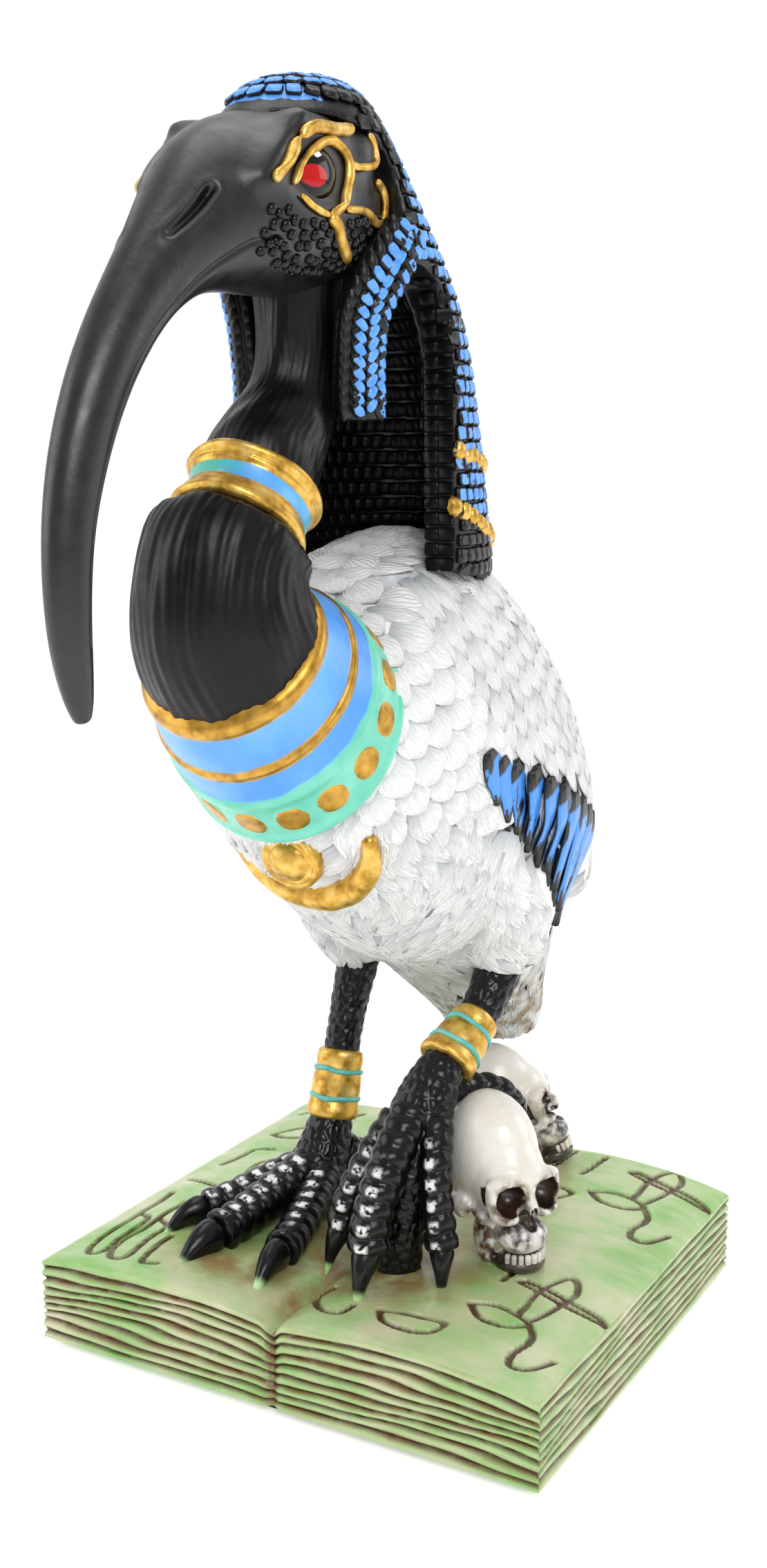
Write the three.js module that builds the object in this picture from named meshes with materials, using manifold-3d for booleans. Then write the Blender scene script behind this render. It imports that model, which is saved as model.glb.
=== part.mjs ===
// A painted resin figure of an ibis in a long wig and a broad collar, standing on an open
// book with two skulls. Millimetres, +Z up. The origin is the middle of the underside, the
// bird looks along -Y, and +X is the bird's left.
import * as THREE from 'three';
import { mergeVertices } from 'three/addons/utils/BufferGeometryUtils.js';
import Module from 'manifold-3d';

const wasm = await Module();
wasm.setup();

// Driving sizes of the book and the pad under it
const bookWidth = 100;
const bookDepth = 90;
const edgeHeight = 16.8;
const frontHumpRise = 2.1;
const backHumpRise = 3.3;
const gutterWidth = 2.4;
const gutterDepth = 1.6;
const pageLineDepth = 0.8;
const pageLineCount = 8;
const strokeWidth = 1.1;
const strokeDepth = 0.7;
const strokeLength = 10;
const strokeRise = 3;
const strokeRows = 6;
const strokeRowStep = 11.7;
const strokeRowInset = 9;
const strokeMargin = 11;
const footStrokes = 3;
const footStrokeStep = 9;
const footStrokeInset = 6.3;
const footStrokeStart = 7;
const lowRiseShare = 0.4;
const padThickness = 1.2;
const padInset = 2.5;

// Driving sizes of the bird and the skulls, which grow with the bird, because its left foot
// leans on one of them
const birdHeight = 202;
const skullShare = 0.9375;
const rearSkullShare = 0.9;
const skullSink = 1.2;
const seatGap = 0.3;
const braids = 16;
const braidDepth = 0.9;
const eyeTurn = 114;
const eyeTilt = 16;
const bandTilt = -40;
const ankletRadius = 4.4;
const discTilt = 197;
const pendantShift = 2.2;

// The bird's stations below are drawn for a bird 202 high, on a page 15 above the ground
const drawnHeight = 202;
const drawnPage = 15;
const drawnSkull = 32;

const degrees = Math.PI / 180;
const birdScale = birdHeight / drawnHeight;
const skullHeight = drawnSkull * skullShare * birdScale;

// A point of the drawing, at its place on the book
function place(x, y, z) {
  return new THREE.Vector3(x * birdScale, y * birdScale, edgeHeight + (z - drawnPage) * birdScale);
}

// Rows between the drawn rows, on a smooth curve through all of them
function between(rows, steps) {
  const smooth = [];
  for (let i = 0; i < rows.length - 1; i += 1) {
    const before = rows[i - 1] ?? rows[i];
    const after = rows[i + 2] ?? rows[i + 1];
    for (let step = 0; step < steps; step += 1) {
      const t = step / steps;
      smooth.push(rows[i].map((b, k) => {
        const a = before[k];
        const c = rows[i + 1][k];
        const d = after[k];
        return b + 0.5 * t * (c - a + t * (2 * a - 5 * b + 4 * c - d + t * (3 * (b - c) + d - a)));
      }));
    }
  }
  smooth.push(rows[rows.length - 1]);
  return smooth;
}

// A closed skin through rings of points, with its ends closed at their middles
function skin(rings) {
  const sides = rings[0].length;
  const middle = (ring) => ring.reduce((sum, p) => sum.add(p), new THREE.Vector3()).divideScalar(sides);
  const points = [...rings.flat(), middle(rings[0]), middle(rings[rings.length - 1])];
  const start = rings.length * sides;
  const faces = [];
  for (let k = 0; k < sides; k += 1) {
    const next = (k + 1) % sides;
    faces.push([start, next, k]);
    for (let i = 0; i < rings.length - 1; i += 1) {
      const low = i * sides;
      const high = low + sides;
      faces.push([low + k, low + next, high + next], [low + k, high + next, high + k]);
    }
    faces.push([start + 1, start - sides + k, start - sides + next]);
  }
  return solid(points, faces);
}

// A solid from points and triangles, turned right side out
function solid(points, faces) {
  const volume = faces.reduce((sum, [a, b, c]) => (
    sum + points[a].dot(new THREE.Vector3().crossVectors(points[b], points[c]))), 0);
  const outward = volume > 0 ? faces : faces.map(([a, b, c]) => [a, c, b]);
  return new wasm.Manifold(new wasm.Mesh({
    numProp: 3,
    vertProperties: Float32Array.from(points.flatMap((p) => p.toArray())),
    triVerts: Uint32Array.from(outward.flat()),
  }));
}

// A solid from one of the ready geometries
function solidOf(geometry) {
  geometry.deleteAttribute('normal');
  geometry.deleteAttribute('uv');
  const merged = mergeVertices(geometry, 1e-4);
  const position = merged.attributes.position;
  const points = Array.from({ length: position.count }, (_, i) => (
    new THREE.Vector3().fromBufferAttribute(position, i)));
  const faces = [];
  for (let i = 0; i < merged.index.count; i += 3) {
    const face = [0, 1, 2].map((k) => merged.index.getX(i + k));
    if (new Set(face).size === 3) faces.push(face);
  }
  return solid(points, faces);
}

function joined(solids) {
  return solids.reduce((sum, next) => sum.add(next));
}

function geometryOf(manifold) {
  const mesh = manifold.getMesh();
  const geometry = new THREE.BufferGeometry();
  geometry.setAttribute('position', new THREE.BufferAttribute(mesh.vertProperties, 3));
  geometry.setIndex(new THREE.BufferAttribute(mesh.triVerts, 1));
  return geometry;
}

function circle(sides, from = 0) {
  return Array.from({ length: sides }, (_, k) => {
    const angle = from + (2 * Math.PI * k) / sides;
    return [Math.cos(angle), Math.sin(angle)];
  });
}

// A part of the trunk: rows of y, z, lean of the ring, half width, half depth on the bird's
// middle plane
function trunk(rows, sides, steps) {
  return skin(between(rows, steps).map(([y, z, lean, halfWidth, halfDepth]) => {
    const along = Math.cos(lean * degrees);
    const up = Math.sin(lean * degrees);
    return circle(sides).map(([c, s]) => (
      place(c * halfWidth, y + s * halfDepth * along, z + s * halfDepth * up)));
  }));
}

// A limb: rows of x, y, z, half width, half thickness, its width lying along aside
function limb(rows, sides, steps, aside, ripple = 0) {
  const smooth = between(rows, steps);
  return skin(smooth.map(([x, y, z, halfWidth, halfThickness], i) => {
    const before = smooth[Math.max(i - 1, 0)];
    const after = smooth[Math.min(i + 1, smooth.length - 1)];
    const tangent = new THREE.Vector3(after[0] - before[0], after[1] - before[1], after[2] - before[2]);
    tangent.normalize();
    const wide = aside.clone().addScaledVector(tangent, -aside.dot(tangent)).normalize();
    const thick = new THREE.Vector3().crossVectors(tangent, wide);
    const swell = i % 2 === 0 ? 1 : 1 - ripple;
    return circle(sides).map(([c, s]) => {
      const w = c * halfWidth * swell;
      const t = s * halfThickness * swell;
      return place(x + w * wide.x + t * thick.x, y + w * wide.y + t * thick.y, z + w * wide.z + t * thick.z);
    });
  }));
}

// The page surface: two soft humps with the gutter between them
function pageHeight(x, y) {
  const out = Math.min(Math.abs(x) / (bookWidth / 2), 1);
  const rise = THREE.MathUtils.mapLinear(y, -bookDepth / 2, bookDepth / 2, frontHumpRise, backHumpRise);
  const notch = Math.max(0, 1 - Math.abs(x) / (gutterWidth / 2));
  return edgeHeight + rise * Math.sin(Math.PI * out) ** 0.8 - gutterDepth * notch;
}

// The page block: its outline is a ring of points, drawn in along each line between pages
function pageBlock() {
  const pageShares = [0.2, 0.45, 0.75, 1];
  const right = [gutterWidth / 2, ...pageShares.map((share) => share * (bookWidth / 2))];
  const columns = [...right.map((x) => -x).reverse(), 0, ...right];
  const rows = [-0.5, -0.2, 0.15, 0.5].map((share) => share * bookDepth);
  const lastColumn = columns.length - 1;
  const lastRow = rows.length - 1;
  const outline = [];
  for (let i = 0; i < lastColumn; i += 1) outline.push([i, 0]);
  for (let j = 0; j < lastRow; j += 1) outline.push([lastColumn, j]);
  for (let i = lastColumn; i > 0; i -= 1) outline.push([i, lastRow]);
  for (let j = lastRow; j > 0; j -= 1) outline.push([0, j]);

  const points = [];
  const levels = 2 * pageLineCount + 1;
  for (let level = 0; level <= levels; level += 1) {
    const share = level / levels;
    const inset = level % 2 === 1 && level < levels ? pageLineDepth : 0;
    for (const [i, j] of outline) {
      const x = columns[i];
      const y = rows[j];
      const z = padThickness + seatGap + share * (pageHeight(x, y) - padThickness - seatGap);
      const notch = i === (lastColumn / 2) && (j === 0 || j === lastRow) ? gutterDepth / 2 : 0;
      const inX = i === 0 ? inset : i === lastColumn ? -inset : 0;
      const inY = j === 0 ? inset + notch : j === lastRow ? -inset - notch : 0;
      points.push(new THREE.Vector3(x + inX, y + inY, z));
    }
  }
  const sides = outline.length;
  const faces = [];
  for (let level = 0; level < levels; level += 1) {
    for (let k = 0; k < sides; k += 1) {
      const low = level * sides + k;
      const next = level * sides + ((k + 1) % sides);
      faces.push([low, next, next + sides], [low, next + sides, low + sides]);
    }
  }
  const top = new Map(outline.map(([i, j], k) => [`${i} ${j}`, levels * sides + k]));
  const bottom = new Map(outline.map(([i, j], k) => [`${i} ${j}`, k]));
  for (let i = 1; i < lastColumn; i += 1) {
    for (let j = 1; j < lastRow; j += 1) {
      top.set(`${i} ${j}`, points.length);
      points.push(new THREE.Vector3(columns[i], rows[j], pageHeight(columns[i], rows[j])));
      bottom.set(`${i} ${j}`, points.length);
      points.push(new THREE.Vector3(columns[i], rows[j], padThickness + seatGap));
    }
  }
  for (let i = 0; i < lastColumn; i += 1) {
    for (let j = 0; j < lastRow; j += 1) {
      const corners = [[i, j], [i + 1, j], [i + 1, j + 1], [i, j + 1]].map((c) => c.join(' '));
      const [a, b, c, d] = corners.map((key) => top.get(key));
      const [e, f, g, h] = corners.map((key) => bottom.get(key));
      faces.push([a, b, c], [a, c, d], [e, g, f], [e, h, g]);
    }
  }
  return solid(points, faces);
}

// One shallow stroke in a page, from one point to another
function stroke(x0, y0, x1, y1) {
  const middleX = (x0 + x1) / 2;
  const middleY = (y0 + y1) / 2;
  const bar = new THREE.BoxGeometry(Math.hypot(x1 - x0, y1 - y0), strokeWidth, 2 * strokeDepth);
  const fall = pageHeight(x1, y1) - pageHeight(x0, y0);
  bar.rotateY(-Math.atan2(fall, Math.hypot(x1 - x0, y1 - y0)));
  bar.rotateZ(Math.atan2(y1 - y0, x1 - x0));
  bar.translate(middleX, middleY, (pageHeight(x0, y0) + pageHeight(x1, y1)) / 2);
  return solidOf(bar);
}

// Rows of shallow strokes along the outer margin of each page and the foot of the right one
function pageStrokes() {
  const margin = bookWidth / 2 - strokeMargin;
  const half = strokeLength / 2;
  const strokes = [];
  for (let row = 0; row < strokeRows; row += 1) {
    const y = strokeRowInset - bookDepth / 2 + row * strokeRowStep;
    const rise = row % 2 === 0 ? strokeRise : -strokeRise;
    strokes.push(stroke(margin - half, y, margin + half, y + rise));
    strokes.push(stroke(-margin - half, y + rise, -margin + half, y));
  }
  for (let k = 0; k < footStrokes; k += 1) {
    const x = footStrokeStart + k * footStrokeStep;
    const y = footStrokeInset - bookDepth / 2;
    const rise = k % 2 === 0 ? strokeRise : strokeRise * lowRiseShare;
    strokes.push(stroke(x, y, x + half, y + rise));
  }
  return strokes;
}

// A skull facing -Y on its own origin, from rows of z, y, half width, half depth
function skull() {
  const rows = [
    [0, -7.4, 4, 3.6],
    [1.5, -7.8, 5.2, 4.8],
    [5.5, -7, 5.6, 5.8],
    [7.2, -6, 5.2, 5.4],
    [11, -3, 7.6, 9.2],
    [16, -0.6, 8, 11.4],
    [20.5, 0.8, 8.4, 12.2],
    [25, 2, 8.6, 11.8],
    [29.4, 3.2, 6.2, 8.6],
    [32, 4, 1.8, 2.6],
  ];
  const cranium = skin(rows.map(([z, y, halfWidth, halfDepth]) => (
    circle(10).map(([c, s]) => new THREE.Vector3(c * halfWidth, y + s * halfDepth, z)))));
  const faceY = -11.4;
  const socketRadius = 3.5;
  const sockets = [-1, 1].map((side) => {
    const socket = new THREE.SphereGeometry(socketRadius, 7, 4);
    socket.translate(side * 4.4, -11, 16);
    return solidOf(socket);
  });
  const noseRadius = 1.7;
  const nose = new THREE.CylinderGeometry(noseRadius, noseRadius, 4, 3);
  nose.rotateX(90 * degrees);
  nose.translate(0, faceY, 11.2);
  const mouthWidth = 12;
  const mouth = new THREE.BoxGeometry(mouthWidth, 2.4, 0.8);
  mouth.translate(0, faceY, 6);
  const carved = [...sockets, solidOf(nose), solidOf(mouth)]
    .reduce((left, hollow) => left.subtract(hollow), cranium);
  const share = skullHeight / drawnSkull;
  return carved.scale([share, share, share]);
}

// A skull set on the page, turned to face, lying back by pitch
function skullOnPage({ x, y, face, pitch, size }, grow) {
  const share = size * grow;
  return skull().scale([share, share, share]).rotate([pitch, 0, face])
    .translate([x, y, pageHeight(x, y) - skullSink]);
}

function skulls(grow) {
  const front = { x: 22 * birdScale, y: -4.2 * birdScale, face: 45, pitch: 0, size: 1 };
  const rear = { x: 9.5 * birdScale, y: 35.5 * birdScale, face: 110, pitch: -18, size: rearSkullShare };
  return [skullOnPage(front, grow), skullOnPage(rear, grow)];
}

// Neck, chest and body, from inside the head to the rump
const bodyRows = [
  [-33.5, 190, 0, 8, 8],
  [-33.5, 180, 0, 6.6, 7.1],
  [-34.5, 171, -8, 6.5, 7.2],
  [-38.5, 164, -26, 8, 8.6],
  [-45, 157.6, -42, 9.2, 9.2],
  [-49.6, 150.5, -40, 9.6, 9.6],
  [-50.6, 148.9, -38, 12, 11.8],
  [-54.2, 143.2, -20, 13.4, 13.2],
  [-54.8, 134.5, 8, 14.2, 14],
  [-51, 127.5, 35, 14.2, 14],
  [-45, 122, 55, 15.6, 15.6],
  [-37.4, 118.6, 67, 18.6, 18],
  [-29.5, 117, 72, 22.6, 26.5],
  [-18, 113.6, 77, 25.4, 32],
  [-4, 108.4, 84, 27.2, 38.6],
  [14, 102, 92, 27.6, 37],
  [30, 95, 98, 24, 30.5],
  [40, 89, 100, 16.5, 21],
  [46, 84.2, 104, 7.6, 10.6],
  [48, 82.8, 106, 2, 3],
];

function body() {
  return trunk(bodyRows, 18, 1);
}

function tail() {
  return trunk([
    [14, 88, 25, 21, 26],
    [24, 71, 27, 18.5, 17.5],
    [29, 63, 28, 15.5, 13.5],
    [34, 55, 28, 12.4, 9.8],
    [38, 48, 25, 10.4, 6.8],
    [39.4, 43.5, 20, 8.6, 4.6],
  ], 10, 1);
}

// Head and beak, from inside the wig to the tip
function headAndBeak() {
  return trunk([
    [-22, 197, 90, 10, 9],
    [-34, 195.8, 92, 12.8, 12.6],
    [-46, 196, 96, 13.6, 13.2],
    [-54, 194.4, 108, 12, 12.2],
    [-60, 191.3, 120, 9.6, 10.1],
    [-66.5, 187.4, 126, 7, 7.3],
    [-73, 182, 132, 5.4, 5.7],
    [-79, 175.2, 141, 4.7, 5],
    [-84, 167.6, 148, 4.3, 4.6],
    [-88, 158.6, 160, 3.8, 4.3],
    [-90.4, 149.4, 172, 3.4, 3.8],
    [-91, 140, 182, 3.1, 3.4],
    [-90.4, 132, 190, 2.7, 2.9],
    [-89.2, 126, 194, 1.9, 2],
    [-88.6, 123.4, 194, 1.2, 1.3],
  ], 12, 1);
}

// An eye: a domed ball inside a raised rim, turned out on the cheek, with the brow line over it
function eye(side) {
  const centre = place(side * 12.2, -47.6, 198);
  const profile = [[0, 2.4], [2.4, 1.8], [3.8, 0.6], [4, 1.5], [5.3, 1.2], [5.4, -3], [0, -3]]
    .map(([r, h]) => new THREE.Vector2(r * birdScale, h * birdScale));
  const ball = new THREE.LatheGeometry(profile, 10);
  ball.scale(1, 1, 1.2);
  ball.rotateX(eyeTilt * degrees);
  ball.rotateZ(-side * eyeTurn * degrees);
  ball.translate(centre.x, centre.y, centre.z);
  const brow = limb([
    [side * 10, -58, 195.6, 0.8, 0.7],
    [side * 10.8, -55.6, 200.6, 1, 0.7],
    [side * 10.8, -50.4, 205, 1, 0.7],
    [side * 12.4, -42.5, 205.6, 0.8, 0.6],
  ], 4, 1, new THREE.Vector3(0, -0.5, 1));
  return [solidOf(ball), brow];
}

// A ring of the wig from z, y, half width, half depth, fluted for its braids
function wigRing([z, y, halfWidth, halfDepth]) {
  return circle(2 * braids, Math.PI / 2).map(([c, s], k) => {
    const swell = k % 2 === 0 ? 1 : 1 - braidDepth / halfWidth;
    return place(c * halfWidth * swell, y + s * halfDepth * swell, z);
  });
}

function wig() {
  const outside = skin([
    [215.7, -30.6, 3.5, 5],
    [214.1, -31.6, 7.6, 9.7],
    [210.4, -32.6, 11, 13.6],
    [204, -33, 14.2, 18.6],
    [195, -29, 16.6, 22.4],
    [184, -21.5, 18, 23.6],
    [172, -16.5, 18.4, 23.8],
    [154, -12.6, 18.6, 24.8],
    [134, -10, 19.4, 26.6],
  ].map(wigRing));
  const inside = skin([
    [189, -20, 7, 10],
    [182, -19.5, 11.5, 15.5],
    [165, -14, 12.5, 18],
    [128, -11, 13.4, 20],
  ].map(([z, y, halfWidth, halfDepth]) => (
    circle(10).map(([c, s]) => place(c * halfWidth, y + s * halfDepth, z)))));
  const opening = cutAcross([
    [-80, 208], [-50, 208], [-43, 205.5], [-33, 197], [-26, 191.5], [-17.5, 187],
    [-15.5, 176], [-15, 141], [12, 135], [12, 128], [-80, 128],
  ]);
  return outside.subtract(inside).subtract(opening);
}

// A block right across the bird, from corners of y, z on its middle plane
function cutAcross(corners) {
  const width = birdHeight / 2;
  const shape = new THREE.Shape(corners.map(([y, z]) => {
    const corner = place(0, y, z);
    return new THREE.Vector2(corner.y, corner.z);
  }));
  const block = new THREE.ExtrudeGeometry(shape, { depth: width, bevelEnabled: false });
  block.translate(0, 0, -width / 2);
  block.applyMatrix4(new THREE.Matrix4().set(0, 0, 1, 0, 1, 0, 0, 0, 0, 1, 0, 0, 0, 0, 0, 1));
  return solidOf(block);
}

// The lock of braids that hangs before each shoulder
function lappet(side) {
  return limb([
    [side * 12.4, -33, 199, 4.6, 2.2],
    [side * 12.8, -32.6, 190, 4.8, 2.2],
    [side * 11, -32, 180, 4, 2.1],
    [side * 10.2, -31.5, 172, 4, 2.1],
    [side * 10, -31.5, 164.5, 4.2, 2.2],
  ], 8, 1, new THREE.Vector3(side * 0.75, 0.66, 0));
}

// The ring about the neck, two ridges with a channel between them
function neckBand() {
  const profile = [
    [0, -4.6], [10.2, -4.6], [11, -3.4], [10.4, -1.9], [9.7, -1.5], [9.7, 1.3],
    [10.2, 1.7], [10.9, 3.1], [10.1, 4.6], [0, 4.6],
  ].map(([r, h]) => new THREE.Vector2(r * birdScale, h * birdScale));
  const band = new THREE.LatheGeometry(profile, 10);
  const centre = place(0, -48.1, 152.9);
  band.rotateX((90 + bandTilt) * degrees);
  band.translate(centre.x, centre.y, centre.z);
  return solidOf(band);
}

// The broad collar: a gold rim, two blue bands with a line between them, and the outer ring
function collar() {
  return trunk([
    [-48, 130, 50, 11, 11],
    [-52.8, 132.2, 50, 14.4, 15.8],
    [-52.3, 131, 50, 15.6, 17],
    [-50.6, 129.6, 52, 15, 16.3],
    [-46, 125.8, 57, 17.9, 18.4],
    [-44.6, 124.6, 59, 17.8, 18],
    [-41, 121.6, 62, 19.2, 19.4],
    [-40, 120.8, 63, 20.2, 20.6],
    [-36.6, 118, 66, 20.7, 21.4],
    [-34, 117.4, 68, 18, 18.4],
  ], 18, 1);
}

// The crescent below the collar with a domed disc in its arms
function pendant() {
  const rows = [];
  for (let k = -4; k <= 4; k += 1) {
    const t = k / 4;
    const rise = 1 - Math.cos(t * Math.PI * 0.5);
    const thick = 0.8 + 1.7 * Math.cos(t * 1.35);
    const x = pendantShift + 12.6 * Math.sin(t * 1.7);
    rows.push([x, -32.4 - 4.8 * rise, 87.4 + 12.5 * rise, thick, thick]);
  }
  const crescent = limb(rows, 5, 1, new THREE.Vector3(0, -1, 0.3));
  const profile = [[0, 2.6], [2.2, 2.2], [3.6, 0.9], [4, 1.4], [5, 1], [5.2, -3], [0, -3]]
    .map(([r, h]) => new THREE.Vector2(r * birdScale, h * birdScale));
  const disc = new THREE.LatheGeometry(profile, 10);
  const centre = place(pendantShift, -40, 95);
  disc.rotateX(discTilt * degrees);
  disc.translate(centre.x, centre.y, centre.z);
  return [crescent, solidOf(disc)];
}

// A folded wing: two layers of coverts, each ending in a step, and the long dark feathers
function wing(side) {
  const layer = (rows) => limb(rows, 8, 1, new THREE.Vector3(-side * 0.5, 0.3, 1));
  const layers = [
    layer([
      [side * 12, -20, 124, 4, 3],
      [side * 18, -8, 119, 11, 5],
      [side * 21.4, 6, 112, 17, 6],
      [side * 21.4, 20, 104, 15, 5],
      [side * 19, 29, 98, 10, 4],
      [side * 17, 33, 96, 5, 2.5],
    ]),
    layer([
      [side * 21.6, 4, 106, 12, 6],
      [side * 21.4, 18, 97, 13, 6],
      [side * 18, 32, 86, 10, 5],
      [side * 14, 41, 77, 6, 3],
    ]),
  ];
  const feathers = [];
  for (let k = 0; k < 4; k += 1) {
    const drop = k / 3;
    feathers.push(limb([
      [side * (27.4 - drop), -11 + 26 * drop, 111 - 13 * drop, 2.4, 1.6],
      [side * (28.4 - 2.6 * drop), -6 + 28 * drop, 103 - 17 * drop, 3.6, 1.8],
      [side * (27.2 - 4.4 * drop), -2 + 30 * drop, 96 - 19 * drop, 2.8, 1.6],
      [side * (25.4 - 5.4 * drop), 2 + 25 * drop, 89 - 19 * drop, 0.7, 0.6],
    ], 4, 1, new THREE.Vector3(0, 0.8, 0.6)));
  }
  return [...layers, ...feathers];
}

// One toe: rows of x, y, z, share of its girth, then a claw that ends at the tip
function toe(rows, tip, girth) {
  const aside = new THREE.Vector3(1, 0, 0);
  const end = rows[rows.length - 1];
  const knuckles = rows.map(([x, y, z, share]) => [x, y, z, girth * share, girth * share]);
  const claw = [[0, 0.8], [0.5, 0.7], [1, 0.1]].map(([t, share]) => {
    const arch = 1.6 * Math.sin(Math.PI * t);
    const point = [0, 1, 2].map((k) => end[k] + (tip[k] - end[k]) * t + (k === 2 ? arch : 0));
    return [...point, girth * share, girth * share];
  });
  return [limb(knuckles, 6, 2, aside, 0.14), limb(claw, 5, 1, aside)];
}

// A leg: thigh, shank, anklet and four toes
function leg({ thigh, shank, ankletEnds, toes }) {
  const across = new THREE.Vector3(1, 0, 0);
  return [
    limb(thigh, 8, 1, across),
    limb(shank, 8, 1, across),
    anklet(...ankletEnds),
    ...toes.flatMap((each) => toe(...each)),
  ];
}

const rightLeg = {
  thigh: [
    [-13.5, 6, 96, 11, 16],
    [-15, 6, 82, 10.5, 14],
    [-15, 9, 70, 7.5, 8.5],
    [-14.6, 11.5, 63, 4.8, 5],
  ],
  shank: [
    [-14.6, 12, 68, 4.4, 4.6],
    [-15.2, 5, 49, 3.3, 3.4],
    [-15.2, 1, 36, 3.8, 3.8],
    [-15.6, -2, 28, 5.4, 5.6],
    [-16, -5, 21, 6.8, 7.4],
    [-16, -5, 14, 6, 7],
  ],
  ankletEnds: [[-15.2, 4, 46.6, 1], [-15.3, 0.3, 33.6, 1.11]],
  toes: [
    [[[-16, -4, 26, 1.1], [-18.5, -13, 23.4, 1.04], [-21.2, -23, 20.2, 1], [-23, -30, 18.8, 1.06]],
      [-24.4, -38, 15], 3.9],
    [[[-13.5, -5, 25, 1.1], [-11.4, -14, 22, 1.04], [-9.8, -23, 19.4, 0.98], [-8.8, -29.5, 18.6, 1.04]],
      [-8, -37.8, 15], 3.4],
    [[[-17.5, -3, 25.4, 1.1], [-22.5, -9.5, 23.2, 1.04], [-27.5, -17, 20.8, 0.98], [-31, -22.4, 19.4, 1.04]],
      [-34.8, -28.6, 15.2], 3.3],
    [[[-14, 1, 27, 1.3], [-10, 7, 23, 1.2], [-6, 13, 19, 1], [-3.6, 16, 17, 0.8]],
      [-2, 19, 15.4], 2.9],
  ],
};

const leftLeg = {
  thigh: [
    [13.5, 8, 98, 11, 17],
    [15.5, 10, 84, 11, 15],
    [15.5, 12.5, 73, 8.5, 9.5],
    [15, 13.2, 65, 5.4, 5.6],
  ],
  shank: [
    [15, 14, 68, 4.6, 4.8],
    [13.6, 6, 57.6, 3.8, 3.8],
    [12, -3, 52, 3.9, 3.9],
    [11, -9, 46.5, 5.6, 5],
    [10, -13.6, 39, 6.2, 5],
    [9.6, -17, 30, 5.6, 4.4],
    [9.4, -18, 20, 5, 4],
  ],
  ankletEnds: [[13.5, 5.2, 57.1, 1], [11.7, -4.6, 50.5, 1.27]],
  toes: [
    [[[10, -13, 44.6, 1.1], [9.6, -21.4, 37, 1.02], [9, -25.8, 28.5, 1], [9, -27.4, 20.5, 1.1]],
      [9.4, -32.2, 15], 3.6],
    [[[6.8, -12, 42.6, 1.1], [3.4, -17.4, 35, 1.02], [0.8, -20, 27, 0.98], [-0.3, -21, 20.4, 1.04]],
      [-1.4, -23.6, 15], 3],
    [[[14, -12, 43, 1.1], [16.6, -17, 36, 1.02], [18.4, -19.2, 28, 0.98], [19.6, -19.8, 20.4, 1.06]],
      [21.1, -22, 15], 2.9],
    [[[13, -5, 46, 1.1], [16.4, -0.5, 46.4, 1], [19.4, 3.6, 44.6, 0.95], [21.2, 6.4, 41, 0.8]],
      [22, 8, 37], 2.3],
  ],
};

// A wide ring about the shank with two grooves, between ends of x, y, z and share of its radius
function anklet(from, to) {
  const rows = [0, 0.3, 0.34, 0.38, 0.66, 0.7, 0.74, 1].map((t) => {
    const [x, y, z, share] = from.map((value, k) => value + (to[k] - value) * t);
    const girth = ankletRadius * share * ([0.34, 0.7].includes(t) ? 0.92 : 1);
    return [x, y, z, girth, girth];
  });
  return limb(rows, 8, 1, new THREE.Vector3(1, 0, 0));
}

const bookSolid = joined([
  pageStrokes().reduce((left, cut) => left.subtract(cut), pageBlock()),
  ...skulls(1),
]);

const birdSolid = joined([
  body(), tail(), headAndBeak(), wig(), lappet(-1), lappet(1), neckBand(), collar(), ...pendant(),
  ...eye(-1), ...eye(1), ...wing(-1), ...wing(1), ...leg(rightLeg), ...leg(leftLeg),
]);

// What the bird is cut by: the book and skulls, raised and grown by the gap
function seat() {
  return joined([pageBlock().translate([0, 0, seatGap]), ...skulls(1 + (2 * seatGap) / skullHeight)]);
}

const padShape = new THREE.Shape([
  [-1, -1], [1, -1], [1, 1], [-1, 1],
].map(([x, y]) => new THREE.Vector2(x * (bookWidth / 2 - padInset), y * (bookDepth / 2 - padInset))));
const padGeometry = new THREE.ExtrudeGeometry(padShape, { depth: padThickness, bevelEnabled: false });

const figure = new THREE.Group();

function addPiece(name, geometry, color, roughness, metalness = 0) {
  const mesh = new THREE.Mesh(geometry, new THREE.MeshStandardMaterial({ color, roughness, metalness }));
  mesh.name = name;
  figure.add(mesh);
}

addPiece('ibis_figure', geometryOf(birdSolid.subtract(seat())), '#efefee', 0.6);
addPiece('book_base', geometryOf(bookSolid), '#bfd89c', 0.55);
addPiece('felt_pad', padGeometry, '#1b1b1b', 0.95);

export default figure;
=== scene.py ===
import bpy
import bmesh
import math
import random
import numpy as np
from mathutils import Matrix, Vector
from mathutils.bvhtree import BVHTree
from mathutils.kdtree import KDTree


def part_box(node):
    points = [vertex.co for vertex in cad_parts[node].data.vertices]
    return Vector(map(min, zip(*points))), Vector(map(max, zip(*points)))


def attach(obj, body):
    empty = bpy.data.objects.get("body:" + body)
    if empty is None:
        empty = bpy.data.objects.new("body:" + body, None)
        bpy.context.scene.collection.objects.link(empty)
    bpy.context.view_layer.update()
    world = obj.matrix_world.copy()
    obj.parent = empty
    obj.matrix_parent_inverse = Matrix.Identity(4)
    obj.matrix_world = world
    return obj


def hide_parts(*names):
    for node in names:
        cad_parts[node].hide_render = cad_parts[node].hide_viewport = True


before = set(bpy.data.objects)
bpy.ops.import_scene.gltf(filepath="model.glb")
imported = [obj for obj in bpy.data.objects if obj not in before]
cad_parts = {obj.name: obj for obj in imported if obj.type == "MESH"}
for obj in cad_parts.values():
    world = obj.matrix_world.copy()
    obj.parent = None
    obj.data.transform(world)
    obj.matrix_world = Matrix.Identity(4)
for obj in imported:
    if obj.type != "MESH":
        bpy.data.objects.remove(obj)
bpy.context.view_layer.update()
mm = 0.001

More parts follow.
